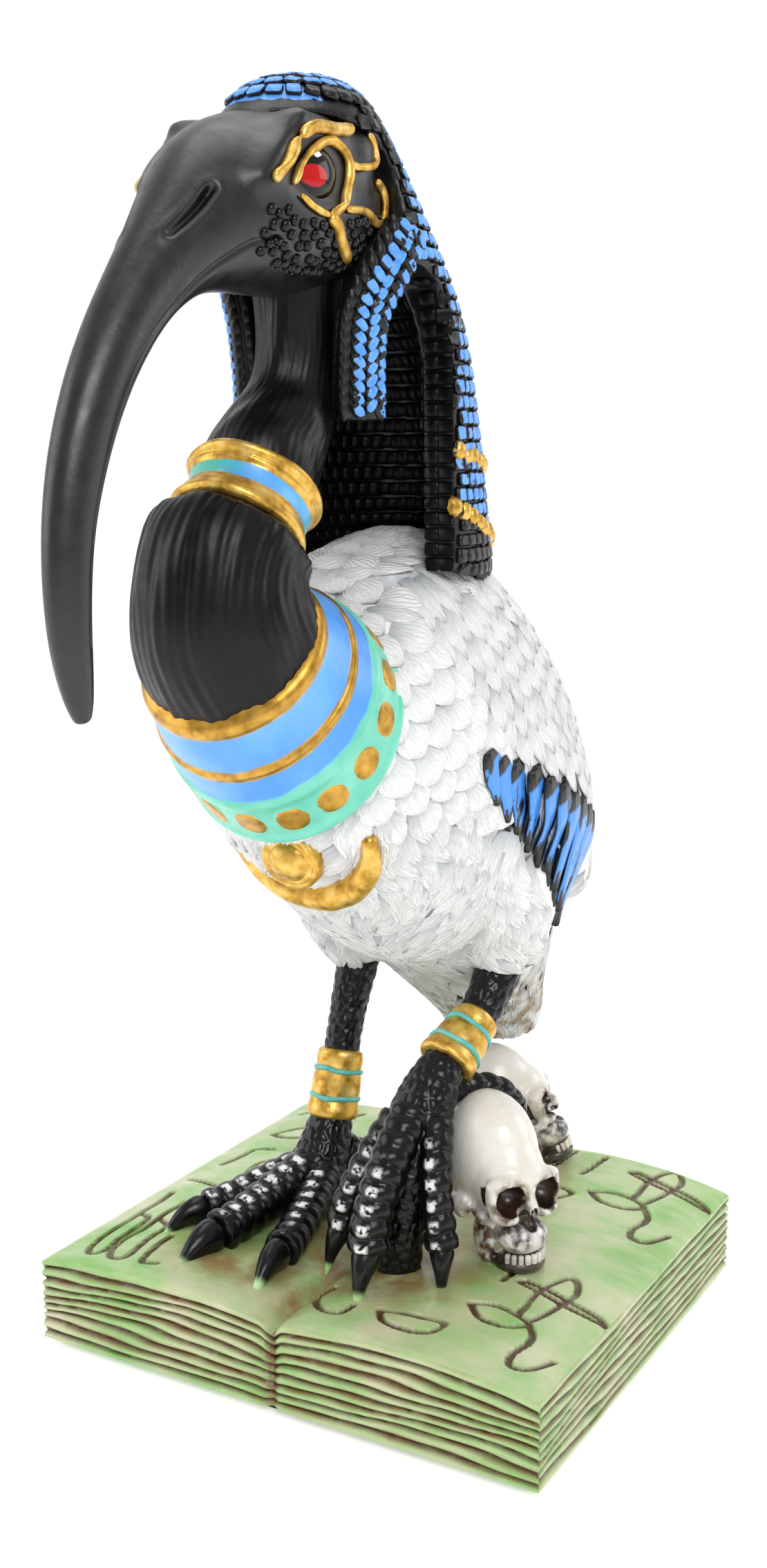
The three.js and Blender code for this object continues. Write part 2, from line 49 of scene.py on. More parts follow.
# Camera, floor and lights
# The camera stands before the bird's left shoulder and looks a little down. The floor is one
# sheet of pale paper that curves up far behind, between two soft lamps and one overhead.
view_turn = math.radians(29.7)
view_tilt = math.radians(10.6)
lens_length = 39.81
sweep_edge = 1.5
sweep_height = 2.5
sweep_bend = 0.9
paper_glow = 0.38
lamp_aim = (0, -0.01, 0.11)
room_light = 0.5
bpy.ops.object.camera_add(
    location=(150.8 * mm, -270.7 * mm, 160.4 * mm),
    rotation=(math.pi / 2 - view_tilt, 0, view_turn))
camera = bpy.context.object
camera.data.lens = lens_length
camera.data.sensor_width = 36
camera.data.clip_start = 0.01
bpy.context.scene.camera = camera

paper_white = (0.93, 0.93, 0.93, 1)


def fresh():
    """Object mode with nothing selected."""
    if bpy.context.mode != "OBJECT":
        bpy.ops.object.mode_set(mode="OBJECT")
    bpy.ops.object.select_all(action="DESELECT")


def new_paint(name, roughness, metallic=0.0, coat=0.0):
    """A finish with its constant values set on the shader, ready for its section's nodes."""
    paint = bpy.data.materials.new(name)
    paint.use_nodes = True
    shader = paint.node_tree.nodes["Principled BSDF"]
    shader.inputs["Roughness"].default_value = roughness
    shader.inputs["Metallic"].default_value = metallic
    shader.inputs["Coat Weight"].default_value = coat
    shader.inputs["Coat Roughness"].default_value = 0.12
    return paint


def spots(paint, scale, detail=4.0, stretch=(1, 1, 1)):
    """Noise on the piece's own coordinates, with this many spots to the metre."""
    nodes, links = paint.node_tree.nodes, paint.node_tree.links
    place = nodes.new("ShaderNodeTexCoord")
    mapping = nodes.new("ShaderNodeMapping")
    mapping.inputs["Scale"].default_value = stretch
    noise = nodes.new("ShaderNodeTexNoise")
    noise.inputs["Scale"].default_value = scale
    noise.inputs["Detail"].default_value = detail
    links.new(place.outputs["Object"], mapping.inputs["Vector"])
    links.new(mapping.outputs["Vector"], noise.inputs["Vector"])
    return noise.outputs["Fac"]


def ramp(paint, value, *stops):
    """The value read through a row of (position, colour) stops."""
    node = paint.node_tree.nodes.new("ShaderNodeValToRGB")
    while len(node.color_ramp.elements) < len(stops):
        node.color_ramp.elements.new(0.5)
    for element, (position, colour) in zip(node.color_ramp.elements, stops):
        element.position = position
        element.color = colour
    paint.node_tree.links.new(value, node.inputs["Fac"])
    return node.outputs["Color"]


def use(paint, socket, value):
    """The value drives this socket of the paint's shader."""
    shader = paint.node_tree.nodes["Principled BSDF"]
    paint.node_tree.links.new(value, shader.inputs[socket])


fresh()
bpy.ops.mesh.primitive_plane_add(size=4, rotation=(0, 0, view_turn))
floor = bpy.context.object
floor.name = "paper_sweep"
bpy.ops.object.transform_apply(location=True, rotation=True, scale=True)
away = Vector((-math.sin(view_turn), math.cos(view_turn), 0))
bpy.ops.object.mode_set(mode="EDIT")
bpy.ops.mesh.select_mode(type="EDGE")
bpy.ops.mesh.select_all(action="DESELECT")
sheet = bmesh.from_edit_mesh(floor.data)
for edge in sheet.edges:
    middle = (edge.verts[0].co + edge.verts[1].co) / 2
    edge.select_set(middle.dot(away) > sweep_edge)
bmesh.update_edit_mesh(floor.data)
bpy.ops.mesh.extrude_edges_move(TRANSFORM_OT_translate={"value": (0, 0, sweep_height)})
bpy.ops.mesh.select_all(action="DESELECT")
sheet = bmesh.from_edit_mesh(floor.data)
for edge in sheet.edges:
    middle = (edge.verts[0].co + edge.verts[1].co) / 2
    edge.select_set(middle.dot(away) > sweep_edge and abs(edge.verts[0].co.z + edge.verts[1].co.z) < 0.01)
bmesh.update_edit_mesh(floor.data)
bpy.ops.mesh.bevel(offset=sweep_bend, segments=14, affect="EDGES")
fresh()
paper = new_paint("pale_paper", 0.9)
use(paper, "Base Color", ramp(paper, spots(paper, 40), (0.3, (0.90, 0.90, 0.90, 1)),
                              (0.7, paper_white)))
paper.node_tree.nodes["Principled BSDF"].inputs["Emission Color"].default_value = (1, 1, 1, 1)
paper.node_tree.nodes["Principled BSDF"].inputs["Emission Strength"].default_value = paper_glow
floor.data.materials.append(paper)
bpy.ops.object.select_all(action="DESELECT")
floor.select_set(True)
bpy.context.view_layer.objects.active = floor
bpy.ops.object.shade_smooth()

lamps = (("key_lamp", (0.62, -0.75, 0.85), 0.55, 6.6), ("side_lamp", (-0.85, -0.45, 0.45), 0.7, 3.2),
         ("top_lamp", (-0.1, 0.15, 1.05), 0.7, 3.6), ("back_lamp", (0.75, 0.7, 0.5), 0.6, 2.4))
for name, spot, size, power in lamps:
    bpy.ops.object.light_add(type="AREA", location=spot)
    lamp = bpy.context.object
    lamp.name = name
    lamp.data.size = size
    lamp.data.energy = power
    aim = Vector(lamp_aim) - Vector(spot)
    lamp.rotation_euler = aim.to_track_quat("-Z", "Y").to_euler()
surroundings = bpy.context.scene.world or bpy.data.worlds.new("studio")
bpy.context.scene.world = surroundings
surroundings.use_nodes = True
surroundings.node_tree.nodes["Background"].inputs["Color"].default_value = (1, 1, 1, 1)
surroundings.node_tree.nodes["Background"].inputs["Strength"].default_value = room_light
bpy.context.scene.view_settings.view_transform = "Standard"

# The felt under the book
# A black felt sheet glued to the underside, a little smaller than the book. It keeps its
# plain cut shape and gets a fibrous nap.


def bump(paint, height, distance, strength=1.0):
    """Small unevenness of the painted face."""
    node = paint.node_tree.nodes.new("ShaderNodeBump")
    node.inputs["Distance"].default_value = distance
    node.inputs["Strength"].default_value = strength
    paint.node_tree.links.new(height, node.inputs["Height"])
    use(paint, "Normal", node.outputs["Normal"])


def shade(code):
    """A paint colour from its six-figure code, as the shader takes it."""
    parts = [int(code[k:k + 2], 16) / 255 for k in (0, 2, 4)]
    return tuple(((v + 0.055) / 1.055) ** 2.4 if v > 0.04 else v / 12.92 for v in parts) + (1,)


felt = new_paint("black_felt", 0.95)
use(felt, "Base Color", ramp(felt, spots(felt, 2500, 6), (0.35, shade("0d0d0f")),
                             (0.7, shade("2b2b2e"))))
bump(felt, spots(felt, 4000, 8), 0.2 * mm)
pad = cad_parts["felt_pad"]
pad.data.materials.clear()
pad.data.materials.append(felt)

# The open book
# One cast block of filled resin under green and cream paint: two humped pages with a gutter
# between them, wavy sheets carved round the sides, and strokes cut into the pages.
book_low, book_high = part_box("book_base")
half_width, half_depth = book_high.x, book_high.y
book_foot = book_low.z
edge_height = 16.8 * mm
front_hump, back_hump = 2.1 * mm, 3.3 * mm
gutter_width, gutter_depth = 2.4 * mm, 1.6 * mm
sheet_count = 8
sheet_groove = 0.6 * mm
sheet_rows = 52
page_cells = (190, 171)
stroke_depth = 0.65 * mm
stroke_half_width = 0.54
share_none = (0, 0, 0, 1)
share_full = (1, 1, 1, 1)
big_mark = [
    [(27.9, -25.5), (33, -23.6), (39, -25.5), (36, -28.6), (31.5, -28.6), (27.9, -25.5)],
    [(32.4, -12.6), (47.3, -16.1), (47.6, -17.6), (32.7, -14.1), (32.4, -12.6)],
    [(36.1, -24.1), (36, -14.2), (38.7, -7.5), (41.5, -12), (38.9, -23.9)],
    [(39.4, -26.2), (41.3, -29.5), (40.6, -35.1), (41.6, -38.6), (44.6, -38), (46.8, -33)],
]
page_marks = big_mark + [[(x, y + 52) for x, y in line] for line in big_mark] + [
    [(3.2, -28.6), (2.2, -33.4), (5.4, -37.4), (8.9, -37.6), (10, -34)],
    [(14.9, -33.8), (27.4, -33.4)],
    [(14.9, -33.8), (17.4, -37), (22, -38.2), (26.4, -36.8), (27.4, -33.4)],
    [(16.5, 34.3), (17.7, 43)],
    [(23.2, 33), (24.5, 42.6)],
    [(19.5, 25.2), (25.1, 23.7), (22.4, 18.2)],
    [(28.8, -14.8), (29.6, -8.4)],
    [(-45, -11.4), (-44.9, -22.7), (-45, -34), (-44, -38.5), (-42, -40.6), (-40.6, -38.6),
     (-41.4, -32.4), (-41.5, -24.2), (-44.6, -22.4)],
    [(-39.6, -14.9), (-39.5, -24.4), (-39.7, -35), (-38.6, -39.2), (-36.6, -40.6), (-34.9, -38.4),
     (-35.6, -29), (-35.9, -25.4), (-39.2, -23.6)],
    [(-32.2, -28.9), (-31.8, -37), (-30.6, -40), (-27.8, -39.4)],
    [(-45, 5.5), (-43.2, 10), (-42.2, 14), (-38.6, 15)],
    [(-46, -4), (-36, -6)],
    [(-36, 0), (-37, 7), (-33, 10), (-30, 7)],
    [(-44, 23), (-39, 28), (-34, 24), (-39, 21), (-44, 23)],
    [(-45, 36), (-41, 40), (-36, 35), (-31, 39)],
]


def page_height(x, y):
    """How high the page is at a place: a hump on each side of the gutter."""
    out = np.clip(np.abs(x) / half_width, 0, 1)
    rise = front_hump + (back_hump - front_hump) * (y + half_depth) / (2 * half_depth)
    notch = np.exp(-(x / (0.55 * gutter_width)) ** 2)
    return edge_height + rise * np.sin(np.pi * out) ** 0.8 - gutter_depth * notch


def points_of(piece):
    """The piece's points as a table that numpy can work on."""
    table = np.zeros(len(piece.data.vertices) * 3)
    piece.data.vertices.foreach_get("co", table)
    return table.reshape(-1, 3)


def move_points(piece, table):
    """Puts the piece's points where the table says."""
    piece.data.vertices.foreach_set("co", np.asarray(table, float).ravel())
    piece.data.update()


def set_mark(piece, name, values):
    """Stores a value at each point, for the piece's paint to read."""
    mark = piece.data.attributes.get(name) or piece.data.attributes.new(name, "FLOAT", "POINT")
    mark.data.foreach_set("value", np.asarray(values, np.float32))


def rounded_line(points, steps=8):
    """A smooth line through the given points, or rows between the given rows."""
    knots = np.asarray(points, float)
    line = []
    for i in range(len(knots) - 1):
        a, b = knots[max(i - 1, 0)], knots[i]
        c, d = knots[i + 1], knots[min(i + 2, len(knots) - 1)]
        for t in np.arange(steps) / steps:
            line.append(b + 0.5 * t * (
                c - a + t * (2 * a - 5 * b + 4 * c - d + t * (3 * (b - c) + d - a))))
    return np.array(line + [knots[-1]])


def distance_to(line, spots_at):
    """How far each spot is from a line of points."""
    nearest = np.full(len(spots_at), 1e9)
    for start, end in zip(line[:-1], line[1:]):
        step = end - start
        share = np.clip(((spots_at - start) @ step) / max(step @ step, 1e-12), 0, 1)
        nearest = np.minimum(nearest, np.linalg.norm(spots_at - start - share[:, None] * step, axis=1))
    return nearest


def finish_piece(piece, paints, angle=180):
    """Smooth shading, paint and body for one finished piece."""
    fresh()
    piece.select_set(True)
    bpy.context.view_layer.objects.active = piece
    if angle < 180:
        bpy.ops.object.shade_smooth_by_angle(angle=math.radians(angle))
    else:
        bpy.ops.object.shade_smooth()
    for paint in paints:
        piece.data.materials.append(paint)
    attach(piece, "root")


fresh()
bpy.ops.mesh.primitive_grid_add(x_subdivisions=page_cells[0], y_subdivisions=page_cells[1], size=1)
book = bpy.context.object
book.name = "open_book"
bpy.ops.object.mode_set(mode="EDIT")
bpy.ops.transform.resize(value=(2 * half_width, 2 * half_depth, 1))
bpy.ops.mesh.select_mode(type="EDGE")
bpy.ops.mesh.select_all(action="DESELECT")
bpy.ops.mesh.select_non_manifold()
for row in range(sheet_rows):
    bpy.ops.mesh.extrude_edges_move(TRANSFORM_OT_translate={"value": (0, 0, -1 / sheet_rows)})
bpy.ops.mesh.edge_face_add()
bpy.ops.mesh.select_all(action="SELECT")
bpy.ops.mesh.normals_make_consistent(inside=False)
bpy.ops.mesh.select_mode(type="FACE")
bpy.ops.mesh.select_all(action="DESELECT")
sheet = bmesh.from_edit_mesh(book.data)
mark_lines = [rounded_line(line) for line in page_marks]
cells_up = [face for face in sheet.faces if face.normal.z > 0.9]
middles = np.array([face.calc_center_median()[:2] for face in cells_up]) / mm
to_mark = np.min([distance_to(line, middles) for line in mark_lines], axis=0)
for face, away_from_mark in zip(cells_up, to_mark):
    face.select_set(bool(away_from_mark < 1.1))
bmesh.update_edit_mesh(book.data)
bpy.ops.mesh.subdivide(number_cuts=1)
fresh()
spread = points_of(book)
x, y, down = spread[:, 0], spread[:, 1], -spread[:, 2]
top = page_height(x, y)
side = down > 0.5 / sheet_rows
round_the_book = np.where(np.abs(y) > half_depth - 1e-6, x, y + 3 * x) / mm
wave = (0.24 * np.sin(round_the_book / 13 + 7 * down)
        + 0.13 * np.sin(round_the_book / 6.5 + 9 * down + 2)
        + 0.05 * np.sin(round_the_book / 2.3 + 13 * down))
level = down * (sheet_count + 0.7) + wave * np.clip(6 * down * (1 - down), 0, 1)
off_line = np.abs(level - np.round(level))
on_side = np.clip(down * sheet_rows - 0.5, 0, 1) * (1 - np.clip((down - 0.985) * 60, 0, 1))
groove = np.exp(-(off_line / 0.16) ** 2) * on_side * (np.round(level) > 0)
bulge = (0.18 * mm * np.cos(2 * np.pi * level)
         + 0.1 * mm * np.sin(round_the_book / 4 + 3 * np.round(level)))
inset = sheet_groove * groove + np.clip(bulge, -0.05 * mm, 1) + 0.12 * mm
inset = np.where(side, inset, 0.45 * mm)
inset[down > 1 - 1.5 / sheet_rows] = 0.1 * mm
gutter_line = np.exp(-(x / (0.9 * mm)) ** 2) * (np.abs(y) > half_depth - 1e-6)
moved = np.column_stack((x, y, book_foot + (1 - down) * (top - book_foot)))
moved[:, 0] -= np.sign(x) * inset * (np.abs(x) > half_width - 1e-6)
moved[:, 1] -= np.sign(y) * (inset + 0.9 * mm * gutter_line) * (np.abs(y) > half_depth - 1e-6)
on_page = np.flatnonzero(down < 1e-6)
page_spots = moved[on_page, :2] / mm
nearest = np.min([distance_to(line, page_spots) for line in mark_lines], axis=0)
cut = np.clip((stroke_half_width + 0.24 - nearest) / 0.32, 0, 1)
cut = cut * cut * (3 - 2 * cut)
edge_room = np.clip((half_width - np.abs(moved[on_page, 0])) / (2 * mm), 0, 1)
edge_room *= np.clip((half_depth - np.abs(moved[on_page, 1])) / (2 * mm), 0, 1)
px, py = page_spots.T
soft = 0.12 * np.sin(px / 5 + py / 7) + 0.1 * np.sin(px / 2.3 - py / 3.1) + 0.08 * np.sin(py / 1.7 + px / 9)
moved[on_page, 2] += mm * soft * edge_room - stroke_depth * cut
moved[on_page, 2] -= 0.35 * mm * (1 - edge_room) ** 2
wash = np.clip(1.2 * np.exp(-(off_line / 0.19) ** 2) * on_side * (np.round(level) > 0)
               + 0.4 * gutter_line, 0, 1)
around_feet = (np.exp(-(((px - 11) / 17) ** 2 + ((py + 20) / 12) ** 2))
               + np.exp(-(((px + 17) / 13) ** 2 + ((py + 33) / 7) ** 2))
               + np.exp(-((px / 3.5) ** 2)) * 0.7
               + np.exp(-(((px + 2) / 18) ** 2 + ((py + 2) / 20) ** 2))
               + 0.8 * np.exp(-(((px - 13) / 9) ** 2 + ((py - 28) / 14) ** 2)))
wash[on_page] = np.clip((stroke_half_width + 0.14 - nearest) / 0.16, 0, 1)
patchy_rows = 0.55 + 0.45 * np.sin(round_the_book / 17 + 2.4 * np.round(level))
stain = np.clip(1.1 * np.exp(-(off_line / 0.34) ** 2) * patchy_rows * on_side + gutter_line, 0, 1)
stain[on_page] = np.clip(around_feet, 0, 1)
move_points(book, moved)
set_mark(book, "wash", wash)
set_mark(book, "stain", stain)


def blended(paint, share, first, second):
    """From the first colour to the second one as the share goes from 0 to 1."""
    node = paint.node_tree.nodes.new("ShaderNodeMix")
    node.data_type = "RGBA"
    for socket, given in ((node.inputs[0], share), (node.inputs[6], first), (node.inputs[7], second)):
        if isinstance(given, bpy.types.NodeSocket):
            paint.node_tree.links.new(given, socket)
        else:
            socket.default_value = given
    return node.outputs[2]


def sum_of(paint, first, second, how="ADD"):
    """Two values put together by one kind of sum, kept between 0 and 1."""
    node = paint.node_tree.nodes.new("ShaderNodeMath")
    node.operation = how
    node.use_clamp = True
    for socket, given in zip(node.inputs, (first, second)):
        if isinstance(given, bpy.types.NodeSocket):
            paint.node_tree.links.new(given, socket)
        else:
            socket.default_value = given
    return node.outputs[0]


def mark_of(paint, name):
    """A value that the mesh carries at its points under this name."""
    node = paint.node_tree.nodes.new("ShaderNodeAttribute")
    node.attribute_name = name
    return node.outputs["Fac"]


page_paint = new_paint("page_green", 0.42, coat=0.25)
cream, fresh_green, leaf_green = shade("c6c9a2"), shade("9bbf7a"), shade("79b457")
wash_brown, stain_brown = shade("4c2f10"), shade("94794a")
greens = ramp(page_paint, spots(page_paint, 75, 5), (0.32, cream), (0.5, fresh_green),
              (0.66, leaf_green))
streaks = spots(page_paint, 260, 6, (0.35, 1, 1))
faded = blended(page_paint, ramp(page_paint, streaks, (0.35, share_none), (0.75, (0.6, 0.6, 0.6, 1))),
                greens, cream)
stained = blended(page_paint, sum_of(page_paint, mark_of(page_paint, "stain"), ramp(
    page_paint, spots(page_paint, 160, 6), (0.3, (0.1, 0.1, 0.1, 1)), (0.56, share_full)),
    "MULTIPLY"),
    faded, stain_brown)
inked = blended(page_paint, sum_of(page_paint, mark_of(page_paint, "wash"), ramp(
    page_paint, spots(page_paint, 420, 5), (0.2, (0.6, 0.6, 0.6, 1)), (0.5, share_full)), "MULTIPLY"),
    stained, wash_brown)
use(page_paint, "Base Color", inked)
use(page_paint, "Roughness", ramp(page_paint, spots(page_paint, 300), (0.3, (0.3, 0.3, 0.3, 1)),
                                  (0.7, (0.5, 0.5, 0.5, 1))))
bump(page_paint, spots(page_paint, 700, 6), 0.25 * mm, 0.6)
finish_piece(book, [page_paint], 40)
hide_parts("book_base")

# The two skulls
# Cast with the book: tall ivory crania with hollowed sockets, a nose hole and set teeth, glazed,
# with brown wash and painted shade on the cheeks, chin and jaw and round the sockets, dark violet
# smears below the sockets, and dark paint with painted shade inside the sockets, nose hole and
# mouth. The rear one is a smaller copy.
skull_grain = 0.36 * mm
front_skull = dict(x=22.0, y=-4.2, face=62, pitch=0, size=0.9375)
rear_skull = dict(x=9.5, y=35.5, face=110, pitch=-18, size=0.9375 * 0.9)
skull_sink = 1.2
tooth_count = 9
tooth_arch = (4.5, 4.5)
tooth_height = 3.8


def ball(at, size, turn=(0, 0, 0), segments=28, rings=18):
    """A rounded lump in drawn millimetres, as a start for a joined form."""
    bpy.ops.mesh.primitive_uv_sphere_add(
        segments=segments, ring_count=rings, radius=mm,
        location=[v * mm for v in at], rotation=[math.radians(v) for v in turn], scale=size)
    return bpy.context.object


def joined(pieces, name):
    """The pieces as one object that sits at the origin."""
    fresh()
    for piece in pieces:
        piece.select_set(True)
    bpy.context.view_layer.objects.active = pieces[0]
    bpy.ops.object.join()
    bpy.ops.object.transform_apply(location=True, rotation=True, scale=True)
    whole = bpy.context.object
    whole.name = name
    return whole


def worked(piece, kind, **settings):
    """One modifier, set and applied."""
    fresh()
    piece.select_set(True)
    bpy.context.view_layer.objects.active = piece
    modifier = piece.modifiers.new(kind.lower(), kind)
    for setting, value in settings.items():
        setattr(modifier, setting, value)
    bpy.ops.object.modifier_apply(modifier=modifier.name)
    return piece


fresh()
lumps = [
    ball((0, 1.8, 20.2), (8.5, 11.2, 12.3)),
    ball((0, -3.4, 17.4), (7.3, 8.2, 9.4)),
    ball((0, -12.0, 13.7), (1.2, 1.3, 3.0), (-14, 0, 0)),
    ball((0, -8.7, 7.3), (5.2, 4.9, 3.5)),
    ball((0, -8.2, 2.0), (5.1, 4.9, 2.3)),
    ball((0, -4.5, 9.5), (5.0, 6, 4.4)),
]
for side in (-1, 1):
    lumps += [
        ball((side * 4.4, -9.6, 18.8), (4.2, 2.1, 1.4), (0, side * 8, side * 18)),
        ball((side * 6.9, -8.8, 15.6), (1.3, 1.9, 3.6), (0, side * 6, side * 12)),
        ball((side * 4.9, -10, 12.2), (3.0, 2.0, 1.5), (0, side * -10, side * 22)),
        ball((side * 6.9, -5.6, 11.0), (1.1, 4.6, 1.2), (8, 0, side * 6)),
        ball((side * 5.0, -3.4, 5.4), (1.3, 2.9, 4.8), (-18, 0, 0)),
        ball((side * 7.3, 0.8, 11.4), (1.7, 2.4, 2.6)),
    ]
skull = joined(lumps, "skull_cast")
worked(skull, "REMESH", mode="VOXEL", voxel_size=skull_grain)
worked(skull, "SMOOTH", factor=0.6, iterations=6)
hollows = [ball((0, -13.0, 10.9), (1.5, 2.6, 1.9)), ball((0, -12.6, 12.4), (0.9, 1.9, 1.7))]
for side in (-1, 1):
    hollows += [
        ball((side * 4.2, -11.5, 15.6), (3.1, 4.4, 3.0), (0, 0, side * 14)),
        ball((side * 10.3, -4.4, 15.2), (2.9, 4.6, 4.4)),
        ball((side * 8.2, -8.6, 7.7), (2.9, 4.0, 2.9)),
    ]
cutter = joined(hollows, "skull_cutter")
worked(skull, "BOOLEAN", operation="DIFFERENCE", object=cutter, solver="EXACT", use_self=True)
bpy.data.objects.remove(cutter)
worked(skull, "REMESH", mode="VOXEL", voxel_size=0.3 * mm)
worked(skull, "SMOOTH", factor=0.5, iterations=3)

teeth = []
fresh()
bpy.ops.mesh.primitive_cube_add(size=1.1 * mm)
tooth = bpy.context.object
bpy.ops.object.mode_set(mode="EDIT")
bpy.ops.transform.resize(value=(0.95, 0.85, 1.7))
bpy.ops.mesh.bevel(offset=0.22 * mm, segments=2, affect="EDGES")
fresh()
for k in range(tooth_count):
    swing = math.radians(-66 + 132 * k / (tooth_count - 1))
    copy = tooth.copy()
    copy.data = tooth.data.copy()
    bpy.context.collection.objects.link(copy)
    narrow = 1.05 if abs(k - (tooth_count - 1) / 2) < 2 else 0.9
    copy.data.transform(
        Matrix.Translation((tooth_arch[0] * mm * math.sin(swing),
                            (-8.2 - tooth_arch[1] * math.cos(swing)) * mm,
                            tooth_height * mm))
        @ Matrix.Rotation(swing, 4, "Z") @ Matrix.Diagonal((narrow, 1, 1, 1)))
    teeth.append(copy)
bpy.data.objects.remove(tooth)
tooth_set = joined(teeth, "tooth_set")
bone_points = len(skull.data.vertices)
skull = joined([skull, tooth_set], "skull_cast")
at = points_of(skull) / mm
x, y, z = np.abs(at[:, 0]), at[:, 1], at[:, 2]


def soft_spot(*pairs):
    """1 in the middle of a spot, falling off over the given (distance, reach) pairs."""
    return np.exp(-sum((distance / reach) ** 2 for distance, reach in pairs))


socket_x = 4.2
socket_z = 15.6
socket_reach = 3.15
# Painted shade over dark brown paint inside the sockets, the nose hole and round the teeth; the teeth stay
# clear.
in_socket = (np.hypot(x - socket_x, (z - socket_z)) < socket_reach) & (y > -12.0) & (y < -5)
in_nose = (np.hypot(x / 0.8, z - 11.4) < 2.4) & (y > -12.5) & (y < -8)
round_teeth = np.clip((4.9 - z) / 0.5, 0, 1) * np.clip((6.2 - x) / 0.8, 0, 1) * (y < -6)
dark = np.clip(in_socket * 1.0 + in_nose * 1.0 + 0.95 * round_teeth, 0, 1)
# Brown wash and painted shade: brown on the cheek side, the chin at the skull's foot, round the socket
# rims, below the nose and round the jaw.
brown_wash_and_shade = np.clip(1.7 * soft_spot((x - 7.5, 2.6), (y + 4, 5), (z - 8, 4.6))
              + 0.9 * soft_spot((z - 1, 2.4), (y + 6, 7))
              + 0.9 * soft_spot((np.hypot(x - socket_x, z - socket_z) - 3.4, 0.8), (y + 11, 3))
              + 0.9 * soft_spot((x - 5, 2), (z - 10, 2.4), (y + 9, 3.5))
              + 0.9 * soft_spot((x - 5.4, 2.4), (z - 3.6, 2.8), (y + 6, 4.5)), 0, 1)
smear = np.clip(3.0 * soft_spot((x - 3.1, 1.6), (z - 8.4, 2.4), (y + 11.5, 3.5)), 0, 1)
dark[bone_points:] = 0
set_mark(skull, "dark", dark)
set_mark(skull, "brown_wash_and_shade", brown_wash_and_shade)
set_mark(skull, "smear", smear)
bone_paint = new_paint("aged_bone", 0.3, coat=0.5)
ivory, warm_ivory = shade("e6e3dc"), shade("d9cfb8")
bone = ramp(bone_paint, spots(bone_paint, 90, 5), (0.48, ivory), (0.8, warm_ivory))
patchy = ramp(bone_paint, spots(bone_paint, 520, 6), (0.38, share_none), (0.56, share_full))
# Brown wash and painted shade where that mark is set, broken up by the patchy noise.
washed_and_shaded = blended(bone_paint, sum_of(bone_paint, mark_of(bone_paint, "brown_wash_and_shade"), patchy, "MULTIPLY"), bone,
                 shade("5e3b1e"))
smeared = blended(bone_paint, sum_of(bone_paint, mark_of(bone_paint, "smear"), patchy, "MULTIPLY"),
                  washed_and_shaded, shade("4d434c"))
# Ivory, then brown wash with painted shade, violet smears, and painted shade over dark paint in the sockets
# and mouth.
use(bone_paint, "Base Color", blended(bone_paint, mark_of(bone_paint, "dark"), smeared, ramp(
    bone_paint, spots(bone_paint, 300, 3), (0.35, shade("150e0a")), (0.7, shade("3c2716")))))
use(bone_paint, "Roughness", ramp(bone_paint, patchy, (0, (0.26, 0.26, 0.26, 1)),
                                  (1, (0.4, 0.4, 0.4, 1))))
bump(bone_paint, spots(bone_paint, 500, 5), 0.15 * mm, 0.5)


def stood_on_page(piece, x, y, face, pitch, size):
    """The cast, turned and set on its page."""
    height = page_height(np.array([x * mm]), np.array([y * mm]))[0] - skull_sink * mm
    piece.data.transform(
        Matrix.Translation((x * mm, y * mm, height)) @ Matrix.Rotation(math.radians(face), 4, "Z")
        @ Matrix.Rotation(math.radians(pitch), 4, "X") @ Matrix.Scale(size, 4))


second = skull.copy()
second.data = skull.data.copy()
second.name = "rear_skull"
bpy.context.collection.objects.link(second)
skull.name = "front_skull"
stood_on_page(skull, **front_skull)
stood_on_page(second, **rear_skull)
for piece in (skull, second):
    finish_piece(piece, [bone_paint], 60)
    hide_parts("book_base")

# Legs and feet
# Cast in one with the bird and painted satin black: scaly shanks, four ringed toes on each
# foot with white dabs along their tops, and glossy claws with pale green tips.
page_lift = 1.8
scale_height = 0.34 * mm
ring_depth = 0.6 * mm
ring_step = 3.1
dab_facing = {"right": (0.15, -0.4, 0.9), "left": (0.1, -0.94, 0.33)}
claw_green = shade("bfe6a0")
right_shank = [(-14.6, 11.5, 68, 4.4, 4.6), (-15.0, 7, 56, 3.6, 3.7), (-15.2, 4.2, 47, 3.4, 3.5),
               (-15.2, 1, 36, 3.8, 3.8), (-15.6, -2, 28, 5.2, 5.4), (-16, -5, 22, 6.4, 6.6),
               (-16, -6, 17, 6.2, 7)]
left_shank = [(15, 14, 68, 4.6, 4.8), (13.6, 6, 57.6, 3.8, 3.8), (12, -3, 52, 3.9, 3.9),
              (11, -9, 46.5, 5.4, 4.8), (10, -13.6, 39, 6.0, 4.8), (9.6, -17, 30, 5.4, 4.2),
              (9.4, -18, 20, 4.8, 3.8), (9.4, -18, 16.4, 4.6, 3.6)]
right_toes = [
    ([(-16, -4, 26, 1.1), (-18.5, -13, 23.4, 1.04), (-21.2, -22.4, 20.4, 1),
      (-22.7, -28.2, 19.4, 1.06)], (-24.6, -38.6, 14.6), 3.9),
    ([(-13.5, -5, 25, 1.1), (-11.4, -14, 22, 1.04), (-9.8, -22.4, 19.8, 0.98), (-9, -27.8, 19.1, 1.04)],
     (-8, -38.2, 14.6), 3.4),
    ([(-17.5, -3, 25.4, 1.1), (-22.5, -9.5, 23.2, 1.04), (-27.2, -16.6, 21, 0.98),
      (-30.2, -21.1, 19.9, 1.04)], (-35, -29, 14.8), 3.3),
    ([(-14, 1, 27, 1.3), (-10, 7, 23, 1.2), (-6, 13, 19, 1), (-3.6, 16, 17, 0.8)],
     (-2, 19, 15.4), 2.9),
]
